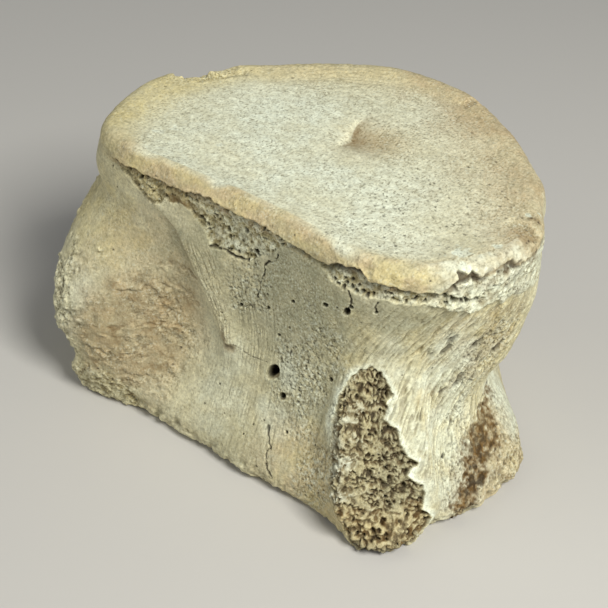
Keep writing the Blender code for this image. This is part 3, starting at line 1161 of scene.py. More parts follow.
@dataclass(frozen=True)
class Ridge:
    """The fibrous flank of the slanting ridge, and the lip that it ends in."""

    left: tuple = (  # the flank's left side, by height and angle
        (38, -100.5), (48, -107.6), (57, -113.8), (64, -118), (70.5, -121.6), (75, -127), (84, -136),
    )
    right: tuple = (
        (38, -95.5), (41.6, -96.5), (47.2, -99.5), (57, -103.7), (66.6, -106.7), (73.7, -112),
        (84, -124),
    )
    fibre: float = 0.42
    fibre_length: float = 6.0
    depth: float = 0.3
    lip: tuple = (-98.6, 40.6)  # angle and height
    notch: tuple = ((-103.4, 45.5), (-101.6, 41.6), (-99, 38.3), (-96.6, 38.6))

    def carve(self, skin: Skin) -> None:
        """Cuts fibres that follow the ridge, and undercuts its lower end.

        Args:
            skin: The bone's skin.
        """
        area = skin.wall(-150, -86, 30, 86)
        points, angle, level = area.grids()
        first = read_line(level, self.left)
        last = read_line(level, self.right)
        share = (angle - first) / (last - first)
        mask = ramp(share, -0.05, 0.08) * fall(share, 0.85, 1.15) * ramp(level, 38, 40.5)
        mask = mask * fall(level + 2 * noise(points, 4, 115), 64, 74)
        warp = 0.5 * noise(points, 6, 110)
        run = stacked((share * 8 + warp) / self.fibre, level / self.fibre_length, 0)
        wave = noise(run, 1, 111) + 0.6 * noise(run, 0.5, 112)
        area.lift(mask * self.depth * (0.3 - ramp(wave, -0.3, 0.8)))
        area.clear(GREY, mask * 0.6)
        area.mark(BROWN, 0.22 * mask * ramp(wave, 0, 0.9))
        area.mark(PORES, 0.6 * mask)
        # a brown line with painted shade along the flank's left side
        left_line = bell((share + 0.08) / 0.09) * ramp(level, 40, 46) * fall(level, 70, 76)
        area.lift(-0.25 * left_line)
        area.mark(BROWN, (0.25 + 0.3 * fall(level, 44, 54)) * left_line)
        scale = DEGREE * 45
        knob = bell((angle - self.lip[0]) * scale / 3) * bell((level - self.lip[1] - 1.4) / 3.2)
        area.lift(0.9 * knob * ramp(level, 38.6, 39.8))
        away = line_distance(angle, level, self.notch, scale)
        ragged = away + 0.9 * fractal(points, 2, 116)
        low_end = fall(level, 39, 46)
        cut = fall(ragged, 0.2, 1.6) * low_end
        area.lift(-0.35 * cut)
        # painted shadow under the lip's lower end
        area.mark(PIT, 0.5 * fall(ragged, 0, 0.9) * fall(level, 38.6, 40.6))
        area.mark(BROWN, 0.7 * fall(ragged, 0.2, 2.6) * low_end)


@dataclass(frozen=True)
class BrokenEdge:
    """A crumbled edge: nodules and pits of broken bone."""

    patch: Patch
    lump: float
    height: float
    pits: float
    seed: int
    brown: float = 0.3
    pale: float = 0.0
    ragged: float = 0.35  # how uneven its border is

    def carve(self, skin: Skin) -> None:
        """Piles up nodules and sinks pits between them.

        Args:
            skin: The bone's skin.
        """
        area = self.patch.area(skin)
        points = area.points
        mask = self.patch.within(area, self.seed, self.ragged)
        lumps = fractal(points, self.lump * 1.6, self.seed + 1, 4)
        rough = fractal(points, 1.7, self.seed + 4, 4)
        area.lift(mask * self.height * (0.6 * lumps + 0.45 * rough))
        hole = pores(points, 1.4, 0.45, self.seed + 7) * mask * ramp(-lumps, -0.5, 0.3)
        area.lift(-self.pits * hole)
        crease = ramp(-0.6 * lumps - rough, 0, 0.7)
        # painted shade in the pits and creases
        area.mark(PIT, np.maximum(0.6 * hole, 0.3 * mask * crease))
        area.mark(BROWN, mask * self.brown * (0.25 + 0.75 * crease))
        area.mark(PALE, mask * self.pale * ramp(lumps + 0.4 * rough, -0.3, 0.3))
        area.mark(YELLOW, mask * 0.65)
        area.mark(PORES, mask)


@dataclass(frozen=True)
class CrumbledRim:
    """The upper plate's right end, broken back to a rough pale bevel."""

    upper: tuple = (  # line of pits along the broken edge
        (-38.8, 83), (-32.5, 82.3), (-29.8, 85.3), (-27.9, 87), (-26.2, 88.4), (-23.5, 89.2),
        (-21.4, 87.1), (-19.2, 87.9), (-16.4, 88.7), (-13.1, 89.5), (-11.3, 87.5), (-6.6, 86.7),
        (2, 89),
    )
    lower: tuple = (  # lower end of the crumbled bone
        (-38.2, 80.2), (-34.8, 79.7), (-31, 79.1), (-26.8, 77.9), (-24.1, 77.2), (-20.9, 75.3),
        (-18.4, 75.9), (-15.3, 75.9), (-11.3, 74.4), (-8, 73.7), (-3, 71.5), (4.2, 69),
        (10.8, 68.5), (16, 72), (26, 78),
    )
    tears: tuple = (  # how deep that line is, and how much shade is painted in it, by angle
        (-38, 0.5), (-31, 0.25), (-27.5, 0.9), (-22, 1), (-19, 0.35), (-15.5, 0.5),
        (-12, 1), (-9, 0.5), (-4, 0.25), (3, 0),
    )

    def carve(self, skin: Skin) -> None:
        """Lets rough bone stand out over the wall, with pits along its upper edge.

        Args:
            skin: The bone's skin.
        """
        area = skin.wall(-38, 26, 64, HEIGHT)
        points, angle, level = area.grids()
        span = ramp(angle, -36, -30) * fall(angle + 9 * fractal(points, 8, 174), 2, 20)
        low = read_line(angle, self.lower)
        low = low + 1.3 * noise(points, 5, 171) + 0.7 * noise(points, 2, 173)
        top = read_line(angle, self.upper)
        over = ramp(level - low, 0, 0.9) * fall(level - top, -0.8, 0.6) * span
        rubble = fractal(points, 2.4, 172, 3)
        lumps = cells(points, 2.8, 175)
        nodule = (fall(lumps.near, 0.1, 0.8) * (0.4 + 0.6 * lumps.own) - 0.4) * 0.6
        crumbly = ramp(-angle, -14, 4)
        bevel = np.clip((top - level) / 9, 0, 1) - 0.35
        ledge = 1 - 0.85 * ramp(angle, -17, -5)
        rough = (0.4 * nodule + 0.55 * rubble) * (0.35 + 0.65 * crumbly)
        area.lift(over * (0.1 + (0.4 + 1.8 * bevel) * ledge + rough))
        crease = ramp(-nodule - 0.7 * rubble, 0.25, 0.8)
        hole = pores(points, 1.5, 0.22, 178) * over
        line = line_distance(angle, level + 1.2 * noise(points, 2.6, 181), self.upper, 1.15)
        line = line + 0.8 * rubble
        wide = 0.5 + 0.9 * ramp(noise(points, 3, 182), -0.4, 0.4)
        torn = fall(line, wide * 0.4, wide * 1.6) * ramp(angle, -34, -28)
        torn = torn * read_line(angle, self.tears)
        area.lift(-1.1 * torn - 0.7 * hole)
        # painted shade in the torn line, the pits and the creases
        area.mark(PIT, np.maximum(np.maximum(0.8 * torn, 0.6 * hole), 0.15 * over * crease))
        spots = ramp(noise(points, 3, 187), 0.1, 0.6) * crumbly
        area.mark(BROWN, over * (0.25 * crease + 0.3 * spots) + 0.45 * torn)
        area.mark(PALE, over * (0.45 + 0.4 * ramp(nodule + 0.6 * rubble, -0.6, 0.1)))
        area.mark(YELLOW, over * (0.35 + 0.65 * ramp(noise(points, 3.5, 186), -0.2, 0.4)))
        area.mark(PORES, over)
        area.clear(GREY, over)
        area.clear(TAN, over * 0.7)
        area.mark(GREY, over * 0.35 * ramp(angle, -30, -14))
        beyond = ramp(level - top, 0, 1.5) * span * fall(angle, -12, 0)
        area.mark(PALE, beyond * (0.55 + 0.4 * fractal(points, 4, 185)))


@dataclass(frozen=True)
class DarkPatch:
    """The rough brown valley in front of the left process."""

    path: tuple = (  # angle and height, from the top down
        (9, 24), (5, 22), (2, 20.5), (-2, 18.6), (-6, 16.6), (-9.5, 14.6),
        (-12.6, 11.9), (-15.1, 9.6), (-17.3, 7.4), (-19.2, 4.8), (-20.5, 2),
    )
    widths: tuple = (  # half widths, by height
        (0, 2.4), (5, 3), (9, 3.8), (14, 4.8), (17, 4.4), (20, 3), (24, 1.4),
    )
    strengths: tuple = (  # of the stain and of the painted shade in its creases, by height
        (0, 1.1), (5, 1.2), (9, 1.15), (14, 1.2), (17, 0.9), (24, 0.5),
    )
    depth: float = 1.3

    def carve(self, skin: Skin) -> None:
        """Roughens and stains the valley.

        Args:
            skin: The bone's skin.
        """
        area = skin.wall(-34, 18, 0, 40)
        points, angle, level = area.grids()
        away = line_distance(angle, level, self.path, DEGREE * 62)
        away = away / read_line(level, self.widths)
        rough = fractal(points, 2.2, 121, 4)
        grit = fractal(points, 1.3, 122, 2)
        patchy = noise(points, 4.5, 125)
        torn = fall(away + 0.65 * rough + 0.55 * patchy, 0.2, 1.35)
        strong = torn * read_line(level, self.strengths)
        near = fall(away + 0.45 * rough + 0.3 * patchy, 0.9, 2.6)
        hole = pores(points, 1.4, 0.5, 127) * near
        area.lift(-self.depth * torn * (0.55 + 0.7 * rough) - 0.5 * hole + 0.3 * near * grit)
        area.mark(BROWN, np.clip(strong * (0.78 - 0.5 * grit) + near * (0.3 - 0.3 * grit), 0, 1))
        # painted shade in the creases and pits
        area.mark(PIT, np.maximum(strong * ramp(-rough - 0.8 * grit, -0.3, 0.6) * 0.7, 0.6 * hole))
        area.mark(PALE, 0.45 * near * ramp(grit, 0.15, 0.65))
        area.mark(PORES, near)


@dataclass(frozen=True)
class FootEdge:
    """The worn lower rim all round, with small chips."""

    chip: float = 1.3
    wear: float = 0.7

    def carve(self, skin: Skin) -> None:
        """Wears the lower rim unevenly.

        Args:
            skin: The bone's skin.
        """
        area = skin.wall(SEAM, SEAM + 360, 0, 16)
        points, level = area.points, area.level
        near_foot = fall(level + 2 * noise(points, 9, 131), 2.5, 9)
        worn = ramp(fractal(points, 7, 132), -0.1, 0.6)
        rough = fractal(points, 2, 133)
        area.lift(-near_foot * (self.wear * worn - 0.4 * rough))
        chips = ramp(noise(points * (1, 1, 0.6), 6, 134), 0.35, 0.6)
        area.lift(-self.chip * chips * near_foot)
        # painted shade in the chips
        area.mark(PIT, 0.4 * near_foot * chips * ramp(rough, -0.2, 0.6))
        area.mark(PORES, near_foot * worn)
        area.mark(BROWN, 0.22 * near_foot * worn)


@dataclass(frozen=True)
class Crown:
    """The upper end face: pale and finely granular, with a smoother border in front."""

    border: tuple = (  # share of the crown's reach where its border begins, by angle
        (-195, 0.90), (-178, 0.91), (-160, 0.97), (-150, 1), (-140, 1.01),
        (-128, 1.005), (-101, 1.01), (-80, 1.01), (-60, 1.017), (-45, 1.03),
        (-30, 1.08), (-8, 1.10), (5, 1.06), (40, 0.99), (62, 0.94), (100, 0.92),
        (165, 0.90),
    )
    chips: tuple = (  # angle, half width, height below the face, depth, share that slopes
        (-184.6, 6, 8, 2.6, 0.35),
        (-192, 8, 9, 1.5, 0.8),
        (74, 2, 2.2, 0.8, 0.3),
        (-2, 2.4, 2.6, 0.9, 0.3),
    )
    flecks: tuple = (  # place across and along the bone, and radius
        (-45.8, -29.6, 1.8), (-43.8, -25.5, 1.5), (-28.1, -23.9, 1.3), (34, -27, 1.5),
        (59.5, -27.5, 2.2), (56, -24, 3.5), (62, -14, 1.6), (59.9, 4.8, 1.1), (62, 9, 0.8),
    )
    stains_and_painted_shade: tuple = ((65.5, -4.4, 4.2), (63, 4, 2))         # brown pitted spots with painted shade in their pits, as above
    valley: tuple = ((2, -2.2), (8.2, -2.6), (15.5, -5.6))  # the dimple's lowest line
    valley_depth: float = 1.3

    def carve(self, skin: Skin) -> None:
        """Pits the face, rubs its border smooth, chips its rim and hollows its dimple.

        Args:
            skin: The bone's skin.
        """
        area = skin.crown()
        points = area.points
        x, y = points[..., 0], points[..., 1]
        angle = area.angle
        down = np.where(skin.side[area.rows, None] == Side.WALL.value, HEIGHT - points[..., 2], 0)
        share = skin.share[area.rows, None] + down / 60 + 0.022 * noise(points, 8, 141)
        on_face = ramp(points[..., 2], HEIGHT - 7.5, HEIGHT - 5)
        edge = read_line(angle, self.border)
        skirt = ramp(area.level, HEIGHT - PLATE, HEIGHT - PLATE + 4.5)
        front = ramp(angle, -150, -132) * fall(angle, -56, -36)
        outer = ramp(share, edge - 0.025 - 0.16 * (1 - front), edge + 0.015)
        inner = on_face * (1 - outer)
        clouds = fractal(points, 14, 143)
        streaky = fractal(points * (1, 1, 2), 9, 144, 4)
        area.mark(PORES, inner * (0.42 + 0.35 * clouds) + 0.25 * on_face * (1 - 0.7 * outer * front))
        far = ramp(share * towards(angle, 35) + 0.2 * clouds, 0.1, 0.9)
        back = ramp(share * towards(angle, 110) + 0.15 * clouds, 0.25, 0.9)
        left_end = ramp(-x + 11 * clouds, 34, 74)
        warm = np.maximum(np.maximum(far, 0.75 * back), left_end)
        area.mark(PALE, inner * np.clip(0.8 + 0.45 * clouds, 0, 1) * (1 - 0.9 * warm))
        area.mark(TAN, skirt * np.clip((0.75 * far + 0.35 * back) * (1 + 0.5 * streaky), 0, 1))
        area.mark(YELLOW, skirt * np.clip(0.4 * back + 0.9 * left_end, 0, 1))
        area.mark(YELLOW, np.clip(outer * front * (0.9 + 0.5 * streaky), 0, 1))
        area.mark(TAN, np.clip(outer * front * (0.7 - 0.7 * streaky), 0, 1))
        area.lift(0.16 * outer * front * fractal(points, 2.2, 150))
        ragged = ramp(angle, -66, -50) * fall(angle, 0, 12) * ramp(share, 0.96, 1.02)
        area.lift(0.45 * ragged * fractal(points, 3.4, 152))
        area.mark(YELLOW, 0.9 * ragged * fall(angle, -36, -24))
        area.mark(TAN, 0.9 * ragged * ramp(-streaky, -0.3, 0.4))
        seam_line = bell((share - edge) / 0.013) * on_face * front
        area.mark(TAN, 0.8 * seam_line * ramp(noise(points, 7, 147), -0.5, 0.3))
        area.lift(0.16 * seam_line + 0.12 * outer * on_face * front)
        turned = np.radians(angle)
        rings = noise(stacked(share * 46, 4 * np.cos(turned), 4 * np.sin(turned)), 1, 146)
        area.lift(0.13 * skirt * np.maximum(far, back) * rings * on_face)
        area.mark(BROWN, 0.25 * far * on_face * ramp(rings + 0.5 * streaky, 0.2, 0.8))
        for fleck_x, fleck_y, radius in self.flecks:
            away = np.hypot(x - fleck_x, y - fleck_y) / radius + 0.7 * noise(points, 1.8, 148)
            fleck = on_face * fall(away, 0.5, 1.1)
            area.mark(PALE, fleck)
            area.clear(TAN, fleck)
        for stain_x, stain_y, radius in self.stains_and_painted_shade:
            away = np.hypot(x - stain_x, y - stain_y) / radius + 0.5 * noise(points, 2, 155)
            stain_and_painted_light = fall(away, 0.4, 1.2)
            area.mark(BROWN, 0.65 * stain_and_painted_light)
            # painted shade in the spots' pores
            area.mark(PIT, 0.85 * stain_and_painted_light * pores(points, 1.6, 0.6, 156))
        spread = ramp(share * towards(angle, -8) + 0.3 * clouds, 0.1, 0.7)
        pitted = pores(points, 1.2, 0.15, 157) * spread * inner
        area.lift(-0.2 * pitted)
        # painted shade in the small pits
        area.mark(PIT, 0.7 * pitted)
        self.carve_dimple(area, x, y)
        self.chip_rim(area)

    def carve_dimple(self, area: Area, x: Grid, y: Grid) -> None:
        """Gives the dimple a steep left wall and a long right slope, with painted shade on that slope.

        Args:
            area: The area of the crown.
            x: Places across the bone.
            y: Places towards the belly side.
        """
        side = x - read_line(y, self.valley) + 0.5 * noise(area.points, 5, 149)
        along = bell((y - 8.6) / 7, 3)
        slope = np.where(side < 0, 1 - ramp(-side, 0, 1.9), bell(side / 7.5, 1.3))
        area.lift(-self.valley_depth * along * slope)
        area.lift(0.1 * bell((side + 2.6) / 1.6) * bell((y - 7) / 5.5))
        # shade: brown painted shade on the long right slope
        shade = np.where(side < -0.4, 0, bell((side - 0.8) / 6, 1.4)) * bell((y - 10) / 8)
        area.mark(BROWN, np.clip(shade * (0.75 + 0.35 * fractal(area.points, 3, 153)), 0, 1))
        area.mark(PORES, shade)
        # a tan patch without pale grain round the slope: more of that painted shade
        area.mark(TAN, 0.7 * bell(np.hypot((x - 5) / 13, (y - 11) / 11)))
        area.clear(PALE, bell(np.hypot((x - 6) / 14, (y - 11) / 12)))

    def chip_rim(self, area: Area) -> None:
        """Breaks small chips out of the upper rim.

        Args:
            area: The area of the crown.
        """
        for angle, half_width, height, depth, slope in self.chips:
            across = turn(area.angle, angle) / half_width
            level = (HEIGHT - area.level) / height
            near_rim = ramp(area.skin.share[area.rows, None], 0.87, 0.94)
            ragged = 0.3 * fractal(area.points, 4, 151)
            away = (np.abs(across) ** 2.6 + np.abs(level) ** 2.6) ** (1 / 2.6)
            chip = fall(away + ragged, 1 - slope, 1) * near_rim
            area.lift(-depth * chip)
            area.mark(PORES, chip)


@dataclass(frozen=True)
class Foot:
    """The lower end face, worn and pitted like the upper one."""

    depth: float = 0.8

    def carve(self, skin: Skin) -> None:
        """Sinks shallow unevenness into the foot, clear of the ground.

        Args:
            skin: The bone's skin.
        """
        area = skin.foot()
        points = area.points
        fade = fall(skin.share[area.rows, None], 0.93, 0.985)
        skin.offset[area.rows, area.columns] = 0.0
        hollow = self.depth * (1 + 0.8 * fractal(points, 18, 161)) + 0.25 * fractal(points, 3, 162)
        area.lift(-fade * np.maximum(hollow, 0.1))
        area.mark(PORES, 0.8 * fade + 0.2)


@dataclass(frozen=True)
class Tone:
    """A zone of the wall with its own colour."""

    mark: Mark
    patch: Patch
    amount: float
    patchy: float
    seed: int

    def carve(self, skin: Skin) -> None:
        """Marks the zone, with a cloudy border.

        Args:
            skin: The bone's skin.
        """
        area = self.patch.area(skin, 2)
        clouds = fractal(area.points, 7, self.seed, 4)
        zone = fall(self.patch.reach(area) + 0.35 * clouds, 0.6, 1.4)
        area.mark(self.mark, self.amount * zone * (1 - self.patchy * ramp(clouds, -0.2, 0.5)))


TONES = {  # angle, half width, level, half height, amount, patchiness and seed
    GREY: (
        (-68, 20, 71, 16, 1, 0.25, 201), (-84, 16, 56, 14, 0.6, 0.5, 202),
        (-64, 18, 47, 22, 0.75, 0.35, 203), (-114, 10, 68, 10, 0.85, 0.3, 204),
        (-88, 18, 30, 30, 0.42, 0.5, 220), (-38, 11, 76, 9, 0.7, 0.4, 215),
        (110, 40, 60, 30, 0.45, 0.6, 214),
    ),
    YELLOW: (
        (-57, 12, 14, 16, 0.7, 0.4, 223), (-148, 16, 60, 16, 0.7, 0.4, 219),
        (-50, 8, 55, 18, 0.5, 0.4, 207),
    ),
    TAN: (
        (-62, 16, 14, 14, 0.6, 0.5, 205), (-128, 14, 52, 22, 0.5, 0.4, 206),
        (-22, 7, 48, 22, 0.45, 0.7, 210), (-2, 20, 8, 9, 0.8, 0.4, 212),
        (60, 40, 30, 40, 0.5, 0.7, 213),
    ),
    PALE: (
        (-37, 8, 40, 26, 0.55, 0.3, 208), (-20, 13, 34, 30, 0.8, 0.5, 209),
        (15, 11, 18, 10, 0.95, 0.2, 211), (-70, 4, 40, 5, 0.6, 0.4, 216),
        (-74, 6, 24, 6, 0.45, 0.6, 217), (-96, 10, 24, 16, 0.35, 0.6, 218),
    ),
    BROWN: ((-7, 10, 54, 20, 0.38, 0.7, 222),),
    PORES: ((-75, 26, 68, 18, 0.9, 0.3, 221),),
}
HOLES = (  # angle, level, radius, depth, height over width and lip
    (-76.4, 37.2, 2.25, 5, 1.1, 1), (-71.2, 31.4, 1.15, 3, 1.1, 0.8), (-51.6, 71.4, 0.95, 3, 1.45),
    (-50.6, 73.6, 0.6, 2), (-58, 70.4, 0.8, 2.4), (-69.8, 65.9, 0.6, 1.6), (-80.9, 58.8, 0.65, 1.8),
    (-94.6, 54.6, 0.6, 1.8), (-75.6, 50.6, 0.55, 1.6), (-67.5, 21.8, 0.5, 1.4),
    (-44.4, 74.7, 0.45, 1.4), (-54.4, 45.2, 0.5, 1.4, 1.3), (-12.8, 56.7, 1.9, 2.6, 1.1, 0.3),
    (-3, 49.8, 2.3, 3, 1.1, 0.2), (-20, 18.8, 0.5, 1.6), (88, 38, 2.2, 4.5, 1.2, 0.5),
    (97, 52, 1.6, 3.6, 1.2), (58, 30, 0.8, 2.2), (128, 44, 0.9, 2.4), (160, 56, 0.7, 2),
)
RELIEFS = (
    *(
        Tone(mark, Patch(*sizes[:4]), *sizes[4:])
        for mark, zones in TONES.items()
        for sizes in zones
    ),
    Weathering(),
    Dots(),
    Basin(),
    Fibres(Patch(-16, 24, 52, 36), 0.42, 1.6, 6, 0.9, 301, 0.4),
    Fibres(Patch(-18, 24, 45, 42), 0.45, 0.8, 6, 0.42, 306, 0.35),
    Fibres(Patch(-42, 9, 62, 18), 0.42, 1.3, 10, 0.45, 311, 0.15),
    Fibres(Patch(-80, 24, 22, 24), 0.05, 1, 10, 0.20, 321),
    Fibres(Patch(-56, 9, 34, 24), 0.20, 0.9, 7, 0.28, 326),
    Fibres(Patch(-88, 14, 52, 16), -0.15, 0.9, 7, 0.20, 331),
    Fibres(Patch(58, 46, 46, 44), 0.05, 1.9, 16, 0.42, 341, 0.2),
    Fibres(Patch(136, 40, 46, 44), -0.05, 1.9, 16, 0.38, 351, 0.2),
    Fibres(Patch(-165, 24, 66, 20), 0, 1.8, 12, 0.25, 361),
    Ridge(),
    PitField(Patch(-63, 14, 43, 24), 1.15, 0.38, 0.40, 401, 0.6),
    PitField(Patch(-90, 10, 62, 12), 1.2, 0.42, 0.45, 411, 0.65),
    PitField(Patch(-58, 9, 16, 14), 1.2, 0.35, 0.35, 416, 0.45),
    PitField(Patch(-7, 12, 48, 28), 1.3, 0.55, 0.45, 421, 0.75),
    PitField(Patch(-18, 10, 14, 12), 1.2, 0.4, 0.40, 426, 0.5),
    PitField(Patch(75, 18, 60, 22), 1.7, 0.45, 0.30, 431, 0.45),
    PitField(Patch(150, 14, 24, 14), 1.7, 0.45, 0.35, 441, 0.45),
    BrokenEdge(Patch(-141, 6, 26, 24), 2.6, 1.2, 0.4, 501, 0.1, 0.4, 0.6),
    BrokenEdge(Patch(-131, 8, 7, 8), 2.6, 1.2, 0.6, 506, 0.45, 0.3),
    BrokenEdge(Patch(-165, 20, 26, 24), 3, 1.5, 0.6, 511, 0.2, 0.2, 1),
    BrokenEdge(Patch(4, 14, 6, 8), 2, 0.7, 0.3, 531, 0.35, 0.2),
    DarkPatch(),
    FootEdge(),
    Foot(),
    WornStrip(),
    CrumbledRim(),
    *(Foramen(*sizes) for sizes in HOLES),
    Crack(
        ((-76.5, 79.5), (-78.2, 77.3), (-83.4, 73.4), (-83.8, 69.5), (-85.4, 64.5), (-85.8, 60.5)),
        0.36, 0.6, 1.1,
    ),
    Crack(((-75, 20.5), (-73.3, 15.7), (-72.9, 11.2), (-71, 6)), 0.5, 0.5, 1.3, 0.7),
    Crack(((-96, 40.1), (-88.1, 38.3), (-79.3, 39.4)), 0.16, 0.18, 0.3, 0.7),
    Crack(((-51.6, 79), (-51, 76.5), (-50.6, 74.2)), 0.3, 0.4, 0.6),
    Crack(((-44.6, 79), (-44.8, 77), (-44.4, 75.2)), 0.25, 0.3, 0.4),
    Crack(((-109, 70.5), (-103, 71.6), (-98, 71.2), (-92, 72)), 0.5, 0.7, 1),
    Crack(((70, 84), (72, 72), (69, 61)), 0.4, 0.6, 1),
    SpongyFace(),
    Crown(),
)


# ---- Finishes ----


def srgb(red: int, green: int, blue: int) -> tuple:
    """A display colour from 0 to 255 as a linear colour with full opacity."""
    linear = [
        value / 12.92 if value <= 0.04045 else ((value + 0.055) / 1.055) ** 2.4
        for value in (red / 255, green / 255, blue / 255)
    ]
    return (*linear, 1.0)


@dataclass(frozen=True)
class BoneFinish:
    """Dry bone: cream ground, coloured by the skin's marks, with fine pores, painted shade in creases and
    holes, and painted highlights on crests.
    """

    slot: str
    roughness: float
    ground: tuple = srgb(219, 214, 178)
    cloud: tuple = srgb(206, 199, 160)
    grey: tuple = srgb(165, 164, 134)
    tan: tuple = srgb(190, 172, 134)
    yellow: tuple = srgb(203, 189, 132)
    # pale of bleached bone, also used for painted light
    pale: tuple = srgb(226, 232, 210)
    # brown of stains and of brown painted shade
    brown: tuple = srgb(127, 99, 54)
    # colour of the painted shade in holes, cracks and crevices
    dark: tuple = srgb(40, 30, 16)
    pore: tuple = srgb(118, 108, 74)
    drawn: tuple = (1.0, 0.7, 0.9)  # how far the finest grain is drawn out along each axis
    bump: float = 0.28              # height of the finest grain

    def material(self) -> bpy.types.Material:
        """The finish's material, made on first use.

        Returns:
            A material that reads the marks of the piece it is on.
        """
        name = f"look_{self.slot}"
        if name in bpy.data.materials:
            return bpy.data.materials[name]
        material = bpy.data.materials.new(name)
        material.use_nodes = True
        maker = Nodes(material.node_tree)
        place = maker.object_place()
        drawn = maker.stretched(place, self.drawn)
        mottled = maker.spread(maker.noise(place, 330.0, 4.0, 0.6), 0.3, 0.7)
        speck = maker.noise(drawn, 1600.0, 2.0, 0.6)
        pored = maker.mark(PORES)
        specks = maker.spread(speck, 0.54, 0.68)
        colour = self.stained(maker, place, mottled)
        # painted shade in creases and painted highlight on crests, from the RAISED mark
        colour = maker.shade(colour, maker.scaled(maker.mark(RAISED), 0.72, 1.24))
        fine = maker.spread(maker.noise(drawn, 1100.0, 3.0, 0.7), 0.3, 0.7)
        colour = maker.shade(colour, maker.scaled(fine, 0.82, 1.16))
        flecks = maker.spread(speck, 0.44, 0.34)
        # brown stains, and brown painted shade
        stains_and_painted_shade = maker.times(maker.mark(BROWN), maker.scaled(mottled, 0.6, 1.1))
        for tint, strength in (
            (self.pale, maker.times(flecks, maker.scaled(pored, 0.0, 0.6))),
            (self.pore, maker.times(specks, maker.scaled(pored, 0.10, 0.68))),
            (self.brown, stains_and_painted_shade),
            # painted shade in holes, cracks and crevices
            (self.dark, maker.mark(PIT)),
        ):
            colour = maker.mix(colour, tint, strength)
        grain = maker.noise(drawn, 1200.0, 4.0, 0.65)
        height = maker.sum(grain, maker.times(specks, maker.scaled(pored, -0.1, -0.5)))
        shader = material.node_tree.nodes["Principled BSDF"]
        shader.inputs["Roughness"].default_value = self.roughness
        shader.inputs["Specular IOR Level"].default_value = 0.3
        bumped = maker.bump(height, self.bump * MM, 0.9)
        maker.tree.links.new(colour, shader.inputs["Base Color"])
        maker.tree.links.new(bumped, shader.inputs["Normal"])
        return material

    def stained(self, maker: "Nodes", place: Socket, mottled: Socket) -> Socket:
        """The bone's cloudy colours.

        Args:
            maker: Puts nodes in the material.
            place: Places on the bone.
            mottled: Patches from 0 to 1 that the colours follow.

        Returns:
            The colour, without pores and dark stains.
        """
        clouds = maker.noise(place, 60.0, 3.0, 0.55)
        colour = maker.mix(self.ground, self.cloud, maker.spread(clouds, 0.35, 0.65))
        tints = {YELLOW: self.yellow, TAN: self.tan, GREY: self.grey, PALE: self.pale}
        for mark, tint in tints.items():
            strength = maker.times(maker.mark(mark), maker.scaled(mottled, 0.65, 1.0))
            colour = maker.mix(colour, tint, strength)
        return maker.shade(colour, maker.scaled(mottled, 0.87, 1.08))


class Nodes:
    """Short names for the shader nodes that the finishes use."""

    def __init__(self, tree: bpy.types.NodeTree) -> None:
        """Keeps the tree that the nodes go in."""
        self.tree = tree

    def node(self, kind: str, output: int | str, inputs: dict, **settings: object) -> Socket:
        """Puts a node in the tree.

        Args:
            kind: Its type, without the words that all shader nodes start with.
            output: Number or name of the output that is asked for.
            inputs: What goes in, by number or name: a plain value, or the output of another node.
            settings: Its other settings.

        Returns:
            The output.
        """
        made = self.tree.nodes.new(f"ShaderNode{kind}")
        for name, value in settings.items():
            setattr(made, name, value)
        for name, value in inputs.items():
            if isinstance(value, Socket):
                self.tree.links.new(value, made.inputs[name])
            else:
                made.inputs[name].default_value = value
        return made.outputs[output]

    def object_place(self) -> Socket:
        """Places in the object's own coordinates."""
        return self.node("TexCoord", "Object", {})

    def stretched(self, place: Socket, factors: tuple) -> Socket:
        """Places multiplied along each axis, so that what they draw is longer where it's below 1."""
        return self.node("VectorMath", 0, {0: place, 1: factors}, operation="MULTIPLY")

    def mark(self, mark: Mark) -> Socket:
        """One of the skin's marks."""
        return self.node("Attribute", "Fac", {}, attribute_name=mark.value)

    def noise(self, place: Socket, scale: float, detail: float, roughness: float) -> Socket:
        """Noise from 0 to 1, with so many crests in a metre."""
        inputs = {"Vector": place, "Scale": scale, "Detail": detail, "Roughness": roughness}
        return self.node("TexNoise", "Fac", inputs)

    def spread(self, value: object, low: float, high: float) -> Socket:
        """The value's range from low to high, spread smoothly over 0 to 1."""
        inputs = {"Value": value, "From Min": low, "From Max": high}
        return self.node("MapRange", "Result", inputs, interpolation_type="SMOOTHSTEP")

    def scaled(self, value: object, low: float, high: float) -> Socket:
        """The range from 0 to 1, moved evenly to low and high."""
        return self.node("MapRange", "Result", {"Value": value, "To Min": low, "To Max": high})

    def times(self, first: object, second: object) -> Socket:
        """The product of two values."""
        return self.node("Math", 0, {0: first, 1: second}, operation="MULTIPLY")

    def sum(self, first: object, second: object) -> Socket:
        """The sum of two values."""
        return self.node("Math", 0, {0: first, 1: second}, operation="ADD")

    def mix(self, first: object, second: object, share: object) -> Socket:
        """The first colour, replaced by the second to a share."""
        inputs = {"Factor": share, "A": first, "B": second}
        return self.node("Mix", "Result", inputs, data_type="RGBA")

    def shade(self, colour: Socket, factor: object) -> Socket:
        """A colour made lighter or darker by a factor."""
        return self.node("VectorMath", 0, {0: colour, "Scale": factor}, operation="SCALE")

    def bump(self, height: object, distance: float, strength: float) -> Socket:
        """The direction that a surface faces in where heights from 0 to 1 are pressed into it."""
        return self.node("Bump", "Normal", {"Height": height, "Distance": distance, "Strength": strength})


WALL_BONE = BoneFinish("wall_bone", 0.72)
PLATE_BONE = BoneFinish("plate_bone", 0.68)
SPONGY_BONE = BoneFinish("spongy_bone", 0.80)
BROKEN_BONE = BoneFinish("broken_bone", 0.76)


# ---- Pieces ----


